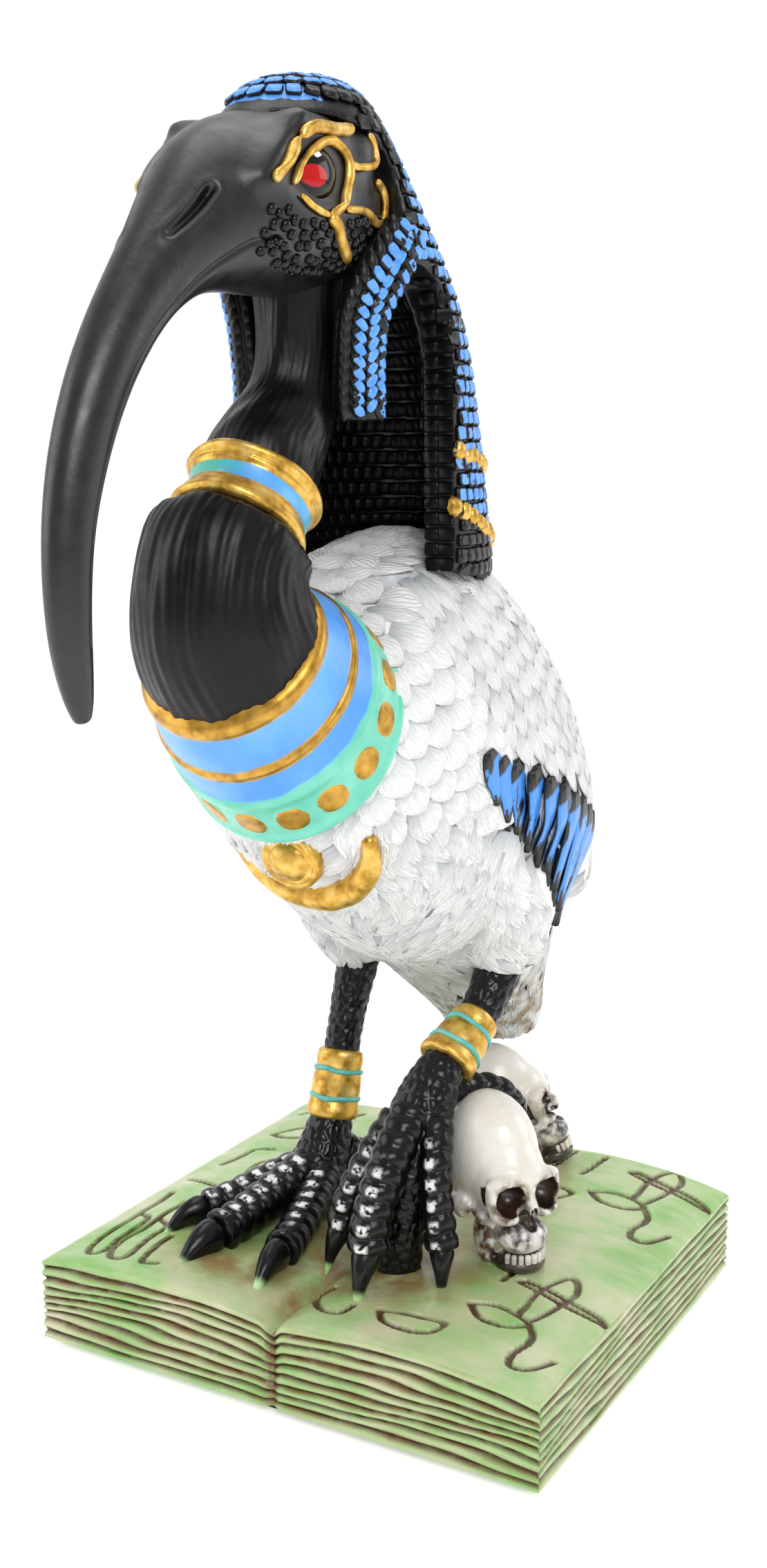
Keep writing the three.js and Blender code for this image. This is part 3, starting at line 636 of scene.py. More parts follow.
left_toes = [
    ([(10, -13, 44.6, 1.1), (9.6, -21.4, 37, 1.02), (9, -25.8, 29.5, 1), (9, -27.3, 23, 1.1)],
     (9.6, -32.8, 14.6), 3.6),
    ([(6.8, -12, 42.6, 1.1), (3.4, -17.4, 35, 1.02), (0.8, -20, 28, 0.98), (-0.1, -20.9, 22.8, 1.04)],
     (-1.6, -24.4, 14.6), 3),
    ([(14, -12, 43, 1.1), (16.6, -17, 36, 1.02), (18.4, -19.2, 29, 0.98), (19.4, -19.7, 22.8, 1.06)],
     (21.2, -23.2, 14.6), 2.9),
    ([(13, -5, 46, 1.1), (16.4, -0.5, 46.4, 1), (19.4, 3.6, 44.6, 0.95), (21.2, 6.4, 41, 0.8)],
     (22, 8, 37), 2.3),
]


def limb_rings(rows, sides, aside):
    """Rings of points round a limb: its rows are x, y, z, half width, half thickness."""
    rows = np.asarray(rows, float)
    ahead = np.vstack((rows[1:, :3], rows[-1:, :3])) - np.vstack((rows[:1, :3], rows[:-1, :3]))
    ahead /= np.linalg.norm(ahead, axis=1)[:, None]
    wide = aside - (ahead @ aside)[:, None] * ahead
    wide /= np.linalg.norm(wide, axis=1)[:, None]
    thick = np.cross(ahead, wide)
    turns = 2 * np.pi * np.arange(sides) / sides
    swell = 6 / (4 + 2 * math.cos(2 * math.pi / sides))
    across = rows[:, 3, None, None] * np.cos(turns)[None, :, None] * wide[:, None]
    through = rows[:, 4, None, None] * np.sin(turns)[None, :, None] * thick[:, None]
    rings = rows[:, None, :3] + swell * (across + through) + (0, 0, page_lift)
    return rings * mm


def drawn_out(name, rings, levels=2):
    """A closed skin drawn out of one circle by an extrusion for each further ring. Its points
    carry how far along they are, in millimetres, and how far round, as a cosine and a sine."""
    fresh()
    sides = len(rings[0])
    bpy.ops.mesh.primitive_circle_add(vertices=sides, radius=mm)
    piece = bpy.context.object
    piece.name = name
    move_points(piece, rings[0])
    bpy.ops.object.mode_set(mode="EDIT")
    bpy.ops.mesh.select_mode(type="EDGE")
    bpy.ops.mesh.select_all(action="SELECT")
    bpy.ops.mesh.edge_face_add()
    bpy.ops.mesh.select_all(action="SELECT")
    for ring, next_ring in zip(rings[:-1], rings[1:]):
        bpy.ops.mesh.extrude_region_move()
        skin = bmesh.from_edit_mesh(piece.data)
        fresh_points = [v for v in skin.verts if v.select]
        for point in fresh_points:
            k = int(np.argmin(((ring - np.array(point.co)) ** 2).sum(1)))
            point.co = next_ring[k]
        bmesh.update_edit_mesh(piece.data)
    bpy.ops.mesh.select_all(action="SELECT")
    bpy.ops.mesh.normals_make_consistent(inside=False)
    fresh()
    places = points_of(piece)
    flat = np.asarray(rings).reshape(-1, 3)
    lengths = np.concatenate(([0], np.cumsum(np.linalg.norm(np.diff(np.mean(rings, axis=1), axis=0),
                                                            axis=1)))) / mm
    which = np.array([int(np.argmin(((flat - place) ** 2).sum(1))) for place in places])
    turns = 2 * np.pi * (which % sides) / sides
    set_mark(piece, "along", lengths[which // sides])
    set_mark(piece, "round_cos", np.cos(turns))
    set_mark(piece, "round_sin", np.sin(turns))
    if levels:
        worked(piece, "SUBSURF", levels=levels, render_levels=levels)
    return piece


def mark_values(piece, name):
    """The values that were stored at the piece's points."""
    table = np.zeros(len(piece.data.vertices), np.float32)
    piece.data.attributes[name].data.foreach_get("value", table)
    return table.astype(float)


def round_angle(piece):
    """How far round its limb each point is."""
    return np.arctan2(mark_values(piece, "round_sin"), mark_values(piece, "round_cos"))


def normals_of(piece):
    """The direction that each point of the piece faces, as a table."""
    table = np.zeros(len(piece.data.vertices) * 3)
    piece.data.vertices.foreach_get("normal", table)
    return table.reshape(-1, 3)


def push(piece, amount):
    """Moves each point along its own normal."""
    move_points(piece, points_of(piece) + normals_of(piece) * np.asarray(amount)[:, None])


def pebbles(places, spacing, seed):
    """Rounded scales over the given places: 1 on top of each, 0 in the seams between them."""
    dice = random.Random(seed)
    order = list(range(len(places)))
    dice.shuffle(order)
    cells = {}
    seeds = []
    for k in order:
        cell = tuple((places[k] // spacing).astype(int))
        near = [cells.get((cell[0] + i, cell[1] + j, cell[2] + n), ()) for i in (-1, 0, 1)
                for j in (-1, 0, 1) for n in (-1, 0, 1)]
        if all(np.sum((places[k] - other) ** 2) > (0.8 * spacing) ** 2 for group in near
               for other in group):
            cells.setdefault(cell, []).append(places[k])
            seeds.append(places[k])
    tree = KDTree(len(seeds))
    for k, seed_place in enumerate(seeds):
        tree.insert(seed_place, k)
    tree.balance()
    rise = np.zeros(len(places))
    for k, place in enumerate(places):
        found = tree.find_n(place, 2)
        if len(found) == 2:
            rise[k] = min((found[1][2] - found[0][2]) / (0.75 * spacing), 1)
    return np.sqrt(rise)


def toe(name, rows, tip, girth, facing):
    """A ringed toe with its claw, dabbed white along the line that faces this way."""
    body = rounded_line([(x, y, z, girth * share, girth * share) for x, y, z, share in rows], 6)
    piece = drawn_out(name, limb_rings(body, 16, np.array((1.0, 0, 0))))
    along = mark_values(piece, "along")
    length = along.max()
    phase = along / length * round(length / ring_step) + 0.1 * np.sin(3 * round_angle(piece))
    rib = np.abs(np.sin(np.pi * phase)) ** 0.5
    top = np.clip(normals_of(piece) @ (np.array(facing) / np.linalg.norm(facing)), 0, 1)
    push(piece, ring_depth * (rib - 0.8) * (along > 1) * np.clip((length + 1 - along) / 2, 0, 1))
    flat_top = np.clip((top - 0.925) * 20, 0, 1)
    set_mark(piece, "dab", flat_top * np.clip((rib - 0.8) * 9, 0, 1) * (along > 0.16 * length))
    set_mark(piece, "tip", np.zeros(len(along)))
    end = np.array(rows[-1][:3])
    share = np.linspace(-0.12, 1, 9)
    arch = 1.7 * np.sin(np.pi * np.clip(share, 0, 1))
    line = end + (np.array(tip) - end) * share[:, None] + np.column_stack((0 * arch, 0 * arch, arch))
    girths = girth * np.array([0.55, 0.86, 0.88, 0.8, 0.68, 0.54, 0.4, 0.25, 0.08])
    claw = drawn_out(name + "_claw", limb_rings(np.column_stack((line, girths * 0.86, girths)), 12,
                                                np.array((1.0, 0, 0))))
    reach = mark_values(claw, "along")
    set_mark(claw, "dab", np.zeros(len(reach)))
    set_mark(claw, "tip", np.clip((reach / reach.max() - 0.72) * 12, 0, 1))
    return [piece, claw]


leg_black = new_paint("leg_black", 0.34)
leg_black.node_tree.nodes["Principled BSDF"].inputs["Specular IOR Level"].default_value = 0.34
worn = ramp(leg_black, spots(leg_black, 260, 5), (0.35, shade("060607")), (0.8, shade("131316")))
dabs = sum_of(leg_black, mark_of(leg_black, "dab"), ramp(
    leg_black, spots(leg_black, 900, 5), (0.41, share_none), (0.5, share_full)), "MULTIPLY")
dabbed = blended(leg_black, dabs, worn, shade("e9e9e6"))
use(leg_black, "Base Color", blended(leg_black, mark_of(leg_black, "tip"), dabbed, claw_green))
use(leg_black, "Roughness", ramp(leg_black, spots(leg_black, 340), (0.3, (0.14, 0.14, 0.14, 1)),
                                 (0.7, (0.3, 0.3, 0.3, 1))))
bump(leg_black, spots(leg_black, 900, 5), 0.12 * mm, 0.5)

for side_name, shank_rows, toes in (("right", right_shank, right_toes),
                                    ("left", left_shank, left_toes)):
    shank = drawn_out(side_name + "_shank",
                      limb_rings(rounded_line(shank_rows, 4), 16, np.array((1.0, 0, 0))))
    worked(shank, "SUBSURF", levels=1, render_levels=1)
    push(shank, scale_height * (pebbles(points_of(shank), 2.3 * mm, 5) - 0.6))
    set_mark(shank, "dab", np.zeros(len(shank.data.vertices)))
    set_mark(shank, "tip", np.zeros(len(shank.data.vertices)))
    pieces = [shank]
    for k, (rows, tip, girth) in enumerate(toes):
        pieces += toe(f"{side_name}_toe_{k}", rows, tip, girth, dab_facing[side_name])
    leg = joined(pieces, side_name + "_leg")
    finish_piece(leg, [leg_black])
    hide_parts("ibis_figure")

# The anklets
# Wide gold-painted rings cast round both shanks, each with two thin turquoise lines.
anklet_ends = (("right_anklet", (-15.2, 4.0, 46.6), (-15.3, 0.3, 33.6), 4.4, 4.9),
               ("left_anklet", (13.5, 5.2, 57.1), (11.7, -4.6, 50.5), 4.4, 5.6))
line_shares = (0.3, 0.7)

gold = new_paint("gold_paint", 0.33, metallic=0.75)
gold_tone = ramp(gold, spots(gold, 420, 6), (0.3, shade("9a7226")), (0.5, shade("d8aa4a")),
                 (0.75, shade("f0cf80")))
use(gold, "Base Color", gold_tone)
use(gold, "Roughness", ramp(gold, spots(gold, 600, 5), (0.3, (0.26, 0.26, 0.26, 1)),
                            (0.7, (0.48, 0.48, 0.48, 1))))
bump(gold, spots(gold, 1500, 6), 0.12 * mm, 0.6)
turquoise = new_paint("turquoise_paint", 0.42, coat=0.2)
use(turquoise, "Base Color", ramp(turquoise, spots(turquoise, 300, 5), (0.3, shade("6fd0b4")),
                                  (0.7, shade("8fe3cb"))))
bump(turquoise, spots(turquoise, 800, 5), 0.1 * mm, 0.5)
line_blue = new_paint("line_blue", 0.4, coat=0.2)
use(line_blue, "Base Color", ramp(line_blue, spots(line_blue, 500, 5), (0.3, shade("4aa8a4")),
                                  (0.7, shade("6cc4bb"))))

for name, upper, lower, upper_radius, lower_radius in anklet_ends:
    upper, lower = np.array(upper), np.array(lower)
    shares = np.array([0, 0.03, 0.1, 0.22, 0.3, 0.38, 0.5, 0.62, 0.7, 0.78, 0.9, 0.97, 1])
    girths = upper_radius + (lower_radius - upper_radius) * shares ** 1.5
    girths *= np.array([0.86, 0.99, 1.04, 1, 0.95, 1, 1.02, 1, 0.95, 1, 1.04, 0.99, 0.86])
    rows = np.column_stack((upper + (lower - upper) * shares[:, None], girths, girths))
    ring = drawn_out(name, limb_rings(rows, 20, np.array((1.0, 0, 0))))
    push(ring, 0.12 * mm * np.sin(2 * round_angle(ring) + mark_values(ring, "along") / 3))
    finish_piece(ring, [gold])
    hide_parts("ibis_figure")
    axis = Vector(lower - upper)
    turn = axis.to_track_quat("Z", "Y")
    for k, share in enumerate(line_shares):
        fresh()
        middle = upper + (lower - upper) * share + (0, 0, page_lift)
        bpy.ops.mesh.primitive_torus_add(
            location=Vector(middle) * mm, rotation=turn.to_euler(), major_segments=40, minor_segments=8,
            major_radius=(girths[shares == share][0] + 0.12) * mm, minor_radius=0.5 * mm)
        line = bpy.context.object
        bpy.ops.object.transform_apply(location=True, rotation=True, scale=True)
        line.name = f"{name}_line_{k}"
        at = points_of(line)
        move_points(line, at + (np.array(axis.normalized())
                                * (0.2 * mm * np.sin(at[:, :1] * 900 + 2 * k))))
        finish_piece(line, [line_blue])
        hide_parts("ibis_figure")

# Plumage
# The white body of the cast: breast, back, wings, thighs and tail carved in one, with rounded
# breast feathers and longer wing feathers laid over each other. Bright white, with grey painted
# shade in the hollows.
body_rows = [
    (-50, 128.5, 35, 11, 10.8), (-45, 122, 55, 15.2, 15.2), (-37.4, 118.6, 67, 18.4, 17.8),
    (-29.5, 117, 72, 22.6, 26.5), (-18, 113.6, 77, 25.4, 32), (-4, 108.4, 84, 27.2, 38.6),
    (14, 102, 92, 27.6, 37),
    (30, 95, 98, 24, 30.5), (40, 89, 100, 16.5, 21), (46, 84.2, 104, 7.6, 10.6), (48, 82.8, 106, 2, 3),
]
tail_rows = [
    (8, 96, 25, 21, 26), (14, 88, 25, 21, 26), (24, 71, 27, 18.5, 17.5), (29, 63, 28, 15.5, 13.5),
    (34, 55, 28, 12.4, 9.8), (38, 48, 25, 10.4, 6.8), (39.4, 43.5, 20, 8.6, 4.6),
]
right_thigh = [(-13, 4, 100, 10, 15), (-13.5, 6, 96, 11, 16), (-15, 6, 82, 10.5, 14),
               (-15, 9, 70, 7.5, 8.5), (-14.6, 11.5, 63, 4.6, 4.8)]
left_thigh = [(13, 7, 102, 10, 16), (13.5, 8, 98, 11, 17), (15.5, 10, 84, 11, 15),
              (15.5, 12.5, 73, 8.5, 9.5), (15, 13.2, 65, 5.2, 5.4)]
wing_upper = [(12, -20, 124, 4, 3), (18, -8, 119, 11, 5), (21.4, 6, 112, 17, 6),
              (21.4, 20, 104, 15, 5), (19, 29, 98, 10, 4), (17, 33, 96, 5, 2.5)]
wing_lower = [(21.6, 4, 106, 12, 6), (21.4, 18, 97, 13, 6), (18, 32, 86, 10, 5), (14, 41, 77, 6, 3)]
down_height = 0.3 * mm
plumage_grain = 0.62 * mm
furrow = [(-34, 135), (-24.2, 126.4), (-18.0, 118.9), (-12.6, 110.1), (-9.3, 102.4)]


def trunk_rings(rows, sides):
    """Rings across the bird's middle plane: rows of y, z, lean, half width, half depth."""
    rows = np.asarray(rows, float)
    turns = 2 * np.pi * np.arange(sides) / sides
    swell = 6 / (4 + 2 * math.cos(2 * math.pi / sides))
    lean = np.radians(rows[:, 2, None])
    reach = swell * np.sin(turns) * rows[:, 4, None]
    x = swell * np.cos(turns) * rows[:, 3, None]
    y = rows[:, 0, None] + reach * np.cos(lean)
    z = rows[:, 1, None] + reach * np.sin(lean) + page_lift
    return np.stack((x, y, z), -1) * mm


def ripples(places, seed, reach):
    """Smooth random swells, -1 to 1, about this far apart."""
    dice = np.random.default_rng(seed)
    total = np.zeros(len(places))
    for _ in range(7):
        way = dice.normal(size=3)
        way /= np.linalg.norm(way)
        total += np.sin(places @ way * (2 * np.pi / reach) * dice.uniform(0.6, 1.5)
                        + dice.uniform(0, 6.28))
    return total / 3.2


forms = [drawn_out("trunk", trunk_rings(rounded_line(body_rows, 2), 20), 1),
         drawn_out("tail", trunk_rings(rounded_line(tail_rows, 2), 16), 1),
         drawn_out("thigh", limb_rings(rounded_line(right_thigh, 2), 14, np.array((1.0, 0, 0))), 1),
         drawn_out("thigh", limb_rings(rounded_line(left_thigh, 2), 14, np.array((1.0, 0, 0))), 1)]
for side in (-1, 1):
    for rows in (wing_upper, wing_lower):
        mirrored = [(side * x, y, z, wide, thick) for x, y, z, wide, thick in rows]
        forms.append(drawn_out("wing", limb_rings(rounded_line(mirrored, 2), 14,
                                                  np.array((-side * 0.5, 0.3, 1.0))), 1))
plumage = joined(forms, "plumage")
worked(plumage, "REMESH", mode="VOXEL", voxel_size=plumage_grain)
worked(plumage, "SMOOTH", factor=0.6, iterations=14)
skin_tree = BVHTree.FromObject(plumage, bpy.context.evaluated_depsgraph_get())
at = points_of(plumage) / mm
bend = 1.6 * np.column_stack((ripples(at, 3, 17), ripples(at, 4, 17), ripples(at, 5, 17)))
strands = at + bend
lines = np.sin(strands[:, 0] * 2.1 + strands[:, 1] * 1.9 + ripples(at, 9, 9) * 2.2)
lines += 0.6 * np.sin(strands[:, 1] * 3.9 - strands[:, 0] * 3.2 + ripples(at, 10, 7) * 2)
tufts = ripples(at, 12, 11) + 0.5 * ripples(at, 13, 6)
fluff = np.clip((104 - at[:, 2]) / 6, 0, 1) + 0.35
relief = down_height * (0.28 * lines + 1.0 * tufts) * np.clip(fluff, 0, 1)
push(plumage, relief)
# Painted shade: the grey mark is strongest where the down relief dips, between tufts and strands.
painted_shade = np.clip(0.5 - 0.5 * tufts - 0.18 * lines, 0, 1)
low_tail = np.clip((68 - at[:, 2]) / 12, 0, 1) * np.clip((at[:, 1] - 14) / 8, 0, 1)
set_mark(plumage, "painted_shade", painted_shade)
set_mark(plumage, "dirt", low_tail)
feather_white = new_paint("feather_white", 0.55, coat=0.0)
bright, grey = shade("f3f3f2"), shade("cbced2")
# Painted shade: the white turns grey along the painted-shade mark.
white_tone = ramp(feather_white, mark_of(feather_white, "painted_shade"), (0.35, bright), (1.0, grey))
soft_tone = blended(feather_white, ramp(feather_white, spots(feather_white, 120, 5),
                                        (0.45, share_none),
                                        (0.8, (0.35, 0.35, 0.35, 1))), white_tone, grey)
dirty = sum_of(feather_white, mark_of(feather_white, "dirt"), ramp(
    feather_white, spots(feather_white, 330, 6), (0.45, share_none), (0.7, (0.8, 0.8, 0.8, 1))),
    "MULTIPLY")
use(feather_white, "Base Color", blended(feather_white, dirty, soft_tone, shade("a8916c")))
bump(feather_white, spots(feather_white, 900, 6, (1, 0.45, 0.3)), 0.3 * mm, 0.5)
finish_piece(plumage, [feather_white])
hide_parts("ibis_figure")


# Breast feathers
# Rounded scallops cast over each other in rows from the collar back to the wings.
scallop_size = (6.8, 7.2)
row_step, side_step = 4.2, 5.6
upper_edge = 99.5


def feather(name, width, length, cells, dome, point, strand=0.0):
    """One laid feather, rooted at -0.5 and ending at 0.5 along Y: a domed leaf with a rim. A
    strand is how high every other column of it stands, for a tuft with a ragged end."""
    fresh()
    bpy.ops.mesh.primitive_grid_add(x_subdivisions=cells[0], y_subdivisions=cells[1], size=1)
    leaf = bpy.context.object
    leaf.name = name
    flat = points_of(leaf)
    u, v = flat[:, 0] * 2, flat[:, 1] + 0.5
    outline = np.clip(1 - np.clip((v - (1 - point)) / point, 0, 1) ** 2.4, 0,
                      1) ** 0.5 * (0.72 + 0.28 * np.sin(np.pi * np.clip(v * 1.1, 0, 1)))
    flat[:, 0] = u * 0.5 * width * np.maximum(outline, 0.12)
    flat[:, 1] = (v - 0.5) * length
    flat[:, 2] = dome * (1 - u ** 2) * np.sin(np.pi * np.clip(v * 0.62 + 0.3, 0, 1)) ** 0.8
    ridge = np.round((u + 1) * cells[0] / 2) % 2
    flat[:, 2] += strand * ridge * np.clip(3 * v, 0, 1)
    flat[:, 1] -= 3 * strand * (1 - ridge) * np.clip(4 * v - 2, 0, 1)
    move_points(leaf, flat * mm)
    set_mark(leaf, "blue", np.clip((1 - np.maximum(np.abs(u), np.abs(2 * v - 1))) * 4, 0, 1))
    worked(leaf, "SOLIDIFY", thickness=0.38 * mm, offset=-1)
    return leaf


def laid(leaf, seeds, tree, lift):
    """Copies of a feather laid on the skin. A seed is its place, its direction, a width share
    and a length share. The copies are wrapped on the skin, each with its tip raised. Their
    points carry how near the tip they are, and a number of each copy's own."""
    shape = points_of(leaf)
    count = len(seeds)
    worked(leaf, "ARRAY", count=count, use_relative_offset=False, use_constant_offset=True,
           constant_offset_displace=(0.02, 0, 0), use_merge_vertices=False)
    reach = shape[:, 1].max()
    wrapped = []
    tipward = []
    for place, way, wide, long in seeds:
        found, normal, _, _ = tree.find_nearest(place)
        way = (way - way.dot(normal) * normal).normalized()
        across = way.cross(normal)
        for x, y, z in shape:
            spot = found + across * (x * wide) + way * (y * long)
            near, up, _, _ = tree.find_nearest(spot)
            share = (y / reach + 1) / 2
            wrapped.append(near + up * (z + lift * share))
            tipward.append(share)
    move_points(leaf, np.array(wrapped))
    set_mark(leaf, "tipward", tipward)
    # Painted shade: each copy turns grey towards its root, where the copy before it lies over it.
    set_mark(leaf, "painted_shade", 1 - np.clip(np.array(tipward) * 1.5, 0, 1))
    set_mark(leaf, "copy", np.repeat(np.arange(count), len(shape)))
    return leaf


def barbs(paint, count, fan):
    """Fine lines that fan out from a feather's root, on its own UV map."""
    nodes, links = paint.node_tree.nodes, paint.node_tree.links
    place = nodes.new("ShaderNodeUVMap")
    parts = nodes.new("ShaderNodeSeparateXYZ")
    links.new(place.outputs["UV"], parts.inputs["Vector"])

    def step(how, first, second):
        node = nodes.new("ShaderNodeMath")
        node.operation = how
        for socket, given in zip(node.inputs, (first, second)):
            if isinstance(given, bpy.types.NodeSocket):
                links.new(given, socket)
            else:
                socket.default_value = given
        return node.outputs[0]
    aside = step("SUBTRACT", parts.outputs["X"], 0.5)
    wave = step("MULTIPLY", step("DIVIDE", aside, step("ADD", step("MULTIPLY", parts.outputs["Y"],
                                                                   fan), 0.35)), count)
    return step("SINE", step("ADD", wave, step("MULTIPLY", spots(paint, 700, 3), 9)), 0)


scallop_white = new_paint("scallop_white", 0.55)
soft_white = shade("e9e9e8")
# Painted shade: grey towards each feather's root, under the feather that overlaps it, plus grey at random.
use(scallop_white, "Base Color", ramp(scallop_white, sum_of(
    scallop_white, mark_of(scallop_white, "painted_shade"),
    ramp(scallop_white, spots(scallop_white, 150, 5), (0.4, share_none),
                                                          (0.8, (0.25, 0.25, 0.25, 1)))),
                                                          (0.1, soft_white), (0.95, grey)))
bump(scallop_white, barbs(scallop_white, 38, 0.9), 0.09 * mm, 1.0)


def furrow_y(z):
    """How far forward the wing's front edge comes at this height, in drawn millimetres."""
    edge = np.array(furrow)
    return np.interp(z, edge[::-1, 1], edge[::-1, 0])


dice = random.Random(11)
scallop_seeds, covert_seeds = [], []
spine = rounded_line(body_rows, 8)
length_at = np.concatenate(([0], np.cumsum(np.linalg.norm(np.diff(spine[:, :2], axis=0), axis=1))))
row_count = int(length_at[-1] / row_step) + 1
for row in range(1, row_count + 10):
    share = min(row * row_step / length_at[-1], 1.0)
    y, z, lean, wide, deep = [np.interp(share * length_at[-1], length_at, spine[:, k])
                              for k in range(5)]
    around = 2 * math.pi * math.sqrt((wide ** 2 + deep ** 2) / 2)
    count = max(int(around / side_step), 4)
    for k in range(count):
        turn = 2 * math.pi * (k + 0.5 * (row % 2)) / count + dice.uniform(-0.03, 0.03)
        out = Vector((math.cos(turn) * wide, math.sin(turn) * deep * math.cos(math.radians(lean)),
                      math.sin(turn) * deep * math.sin(math.radians(lean))))
        centre = Vector((0, y, z + page_lift))
        hit, normal, _, _ = skin_tree.ray_cast((centre + out * 2.2) * mm, -out.normalized())
        if hit is None:
            continue
        hx, hy, hz = hit / mm
        hz -= page_lift
        if hz < upper_edge or hy < -46:
            continue
        on_wing = hy > furrow_y(hz) and abs(hx) > 8
        if on_wing or hy > -2:
            continue
        way = Vector((0.3 * hx / 14, 1, -0.3 - 0.75 * min(abs(hx) / 20, 1)))
        if normal.y < -0.3:
            way = Vector((0.6 * hx / 18, 0.4, -1))
        scallop_seeds.append((hit, way, dice.uniform(0.9, 1.12), dice.uniform(0.92, 1.1)))
covered = [seed[0] / mm for seed in scallop_seeds]
for side in (-1, 1):
    for z in np.arange(102, 151, 2.4):
        for y in np.arange(-44, -2, 2.4):
            hit, normal, _, _ = skin_tree.ray_cast(Vector((side * 60, y, z + page_lift)) * mm,
                                                   Vector((-side, 0, 0)))
            if hit is None or y > max(furrow_y(z) + 1.5, -24) or normal.y < -0.5:
                continue
            spot = hit / mm
            if min((spot - middle).length for middle in covered) < 3.8:
                continue
            way = Vector((0.3 * spot.x / 14, 1, -0.3 - 0.75 * min(abs(spot.x) / 20, 1)))
            scallop_seeds.append((hit, way, 1.05, 1.05))
            covered.append(spot)
scallop = feather("breast_feathers", *scallop_size, (6, 6), 0.35, 0.45)
scallops = laid(scallop, scallop_seeds, skin_tree, 0.9 * mm)
finish_piece(scallops, [scallop_white], 50)
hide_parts("ibis_figure")

# Wing and back feathers
# Narrow streaky feathers in rows that hang down over each wing, and run back over the rump.
covert_size = (4.3, 9.2)
column_step, covert_step = 3.4, 4.9
for side in (-1, 1):
    for column in range(22):
        for row in range(13):
            y = -27 + column_step * column + dice.uniform(-0.5, 0.5)
            z = 148 - covert_step * row - 0.4 * (y + 26) + (covert_step / 2 if column % 2
                                                            else 0) + dice.uniform(-0.6, 0.6)
            start = Vector((side * 60, y, z + page_lift)) * mm
            hit, normal, _, _ = skin_tree.ray_cast(start, Vector((-side, 0, 0)))
            if hit is None:
                continue
            hx, hy, hz = hit / mm
            hz -= page_lift
            in_patch = hz < np.interp(hy, [-18, -12, -6, 7, 23, 40], [114.5, 112, 109.5, 104, 96.5, 87])
            if hy < furrow_y(hz) + 1.5 or in_patch:
                continue
            way = Vector((0, 0.16, -1)) if abs(normal.x) > 0.5 else Vector((side * 0.3, 0.75, -0.6))
            covert_seeds.append((hit, way, dice.uniform(0.75, 1.2), dice.uniform(0.85, 1.2)))
for row in range(14):
    for column in range(-4, 5):
        x, y = 4.2 * column + (2.1 if row % 2 else 0), -20 + 5 * row
        hit, normal, _, _ = skin_tree.ray_cast(Vector((x, y, 170)) * mm, Vector((0, 0, -1)))
        if hit is not None and hit.z > 75 * mm and y > -13:
            covert_seeds.append((hit, Vector((0.02 * x, 0.95, -0.3)), dice.uniform(0.9, 1.2),
                                 dice.uniform(0.9, 1.1)))
covert = feather("wing_feathers", *covert_size, (6, 6), 0.55, 0.45, 0.1)
coverts = laid(covert, covert_seeds, skin_tree, 0.75 * mm)
finish_piece(coverts, [scallop_white], 50)
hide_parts("ibis_figure")

# The downy belly, thighs and tail
# Curling tufts cast in low relief below the breast, over both thighs and down the tail,
# with brownish dirt on the tail's underside.
tuft_size = (4.8, 10.5)
tuft_gap = 3.5
patch_lower_edge = [(-17.7, 111.1), (-11.3, 99.6), (-4.3, 94.6), (4.6, 89.2), (9.5, 80.5), (16.1, 71.1)]


def scattered(places, gap, seed):
    """Numbers of places that lie at least this gap apart, picked in random order."""
    order = list(range(len(places)))
    random.Random(seed).shuffle(order)
    cells, kept = {}, []
    for k in order:
        cell = tuple((places[k] // gap).astype(int))
        near = [cells.get((cell[0] + i, cell[1] + j, cell[2] + n), ()) for i in (-1, 0, 1)
                for j in (-1, 0, 1) for n in (-1, 0, 1)]
        if all(np.sum((places[k] - other) ** 2) > gap ** 2 for group in near for other in group):
            cells.setdefault(cell, []).append(places[k])
            kept.append(k)
    return kept


skin = points_of(plumage)
facing = normals_of(plumage)
at = skin / mm - (0, 0, page_lift)
swirl = ripples(at, 41, 30) * 0.85
below_patch = distance_to(rounded_line(patch_lower_edge, 3), at[:, 1:]) < 3.4
in_patch = at[:, 2] > np.interp(at[:, 1], [y for y, z in patch_lower_edge],
                                [z for y, z in patch_lower_edge])
on_flank = np.abs(facing[:, 0]) > 0.3
bare = (at[:, 2] > upper_edge + 1.5) | (on_flank & (at[:, 1] > -18) & (below_patch | in_patch)
                                        & (at[:, 1] < 34))
open_skin = np.flatnonzero(~bare)
tuft_seeds = []
for k in scattered(at[open_skin], tuft_gap, 23):
    k = open_skin[k]
    up = Vector(facing[k])
    fall = Vector((0, 0.25, -1))
    fall = (fall - fall.dot(up) * up).normalized()
    aside = fall.cross(up)
    way = fall * math.cos(swirl[k]) + aside * math.sin(swirl[k])
    if at[k][2] < 60:
        way = fall
    ends = [skin_tree.find_nearest(Vector(skin[k]) + way * reach * mm) for reach in (-5, 5)]
    if all(end[3] < 2.2 * mm and end[1].dot(up) > 0.35 for end in ends):
        tuft_seeds.append((Vector(skin[k]), way, dice.uniform(0.8, 1.2), dice.uniform(0.85, 1.2)))
    else:
        tuft_seeds.append((Vector(skin[k]), way, dice.uniform(0.5, 0.8), dice.uniform(0.4, 0.6)))
tuft_white = new_paint("tuft_white", 0.6)
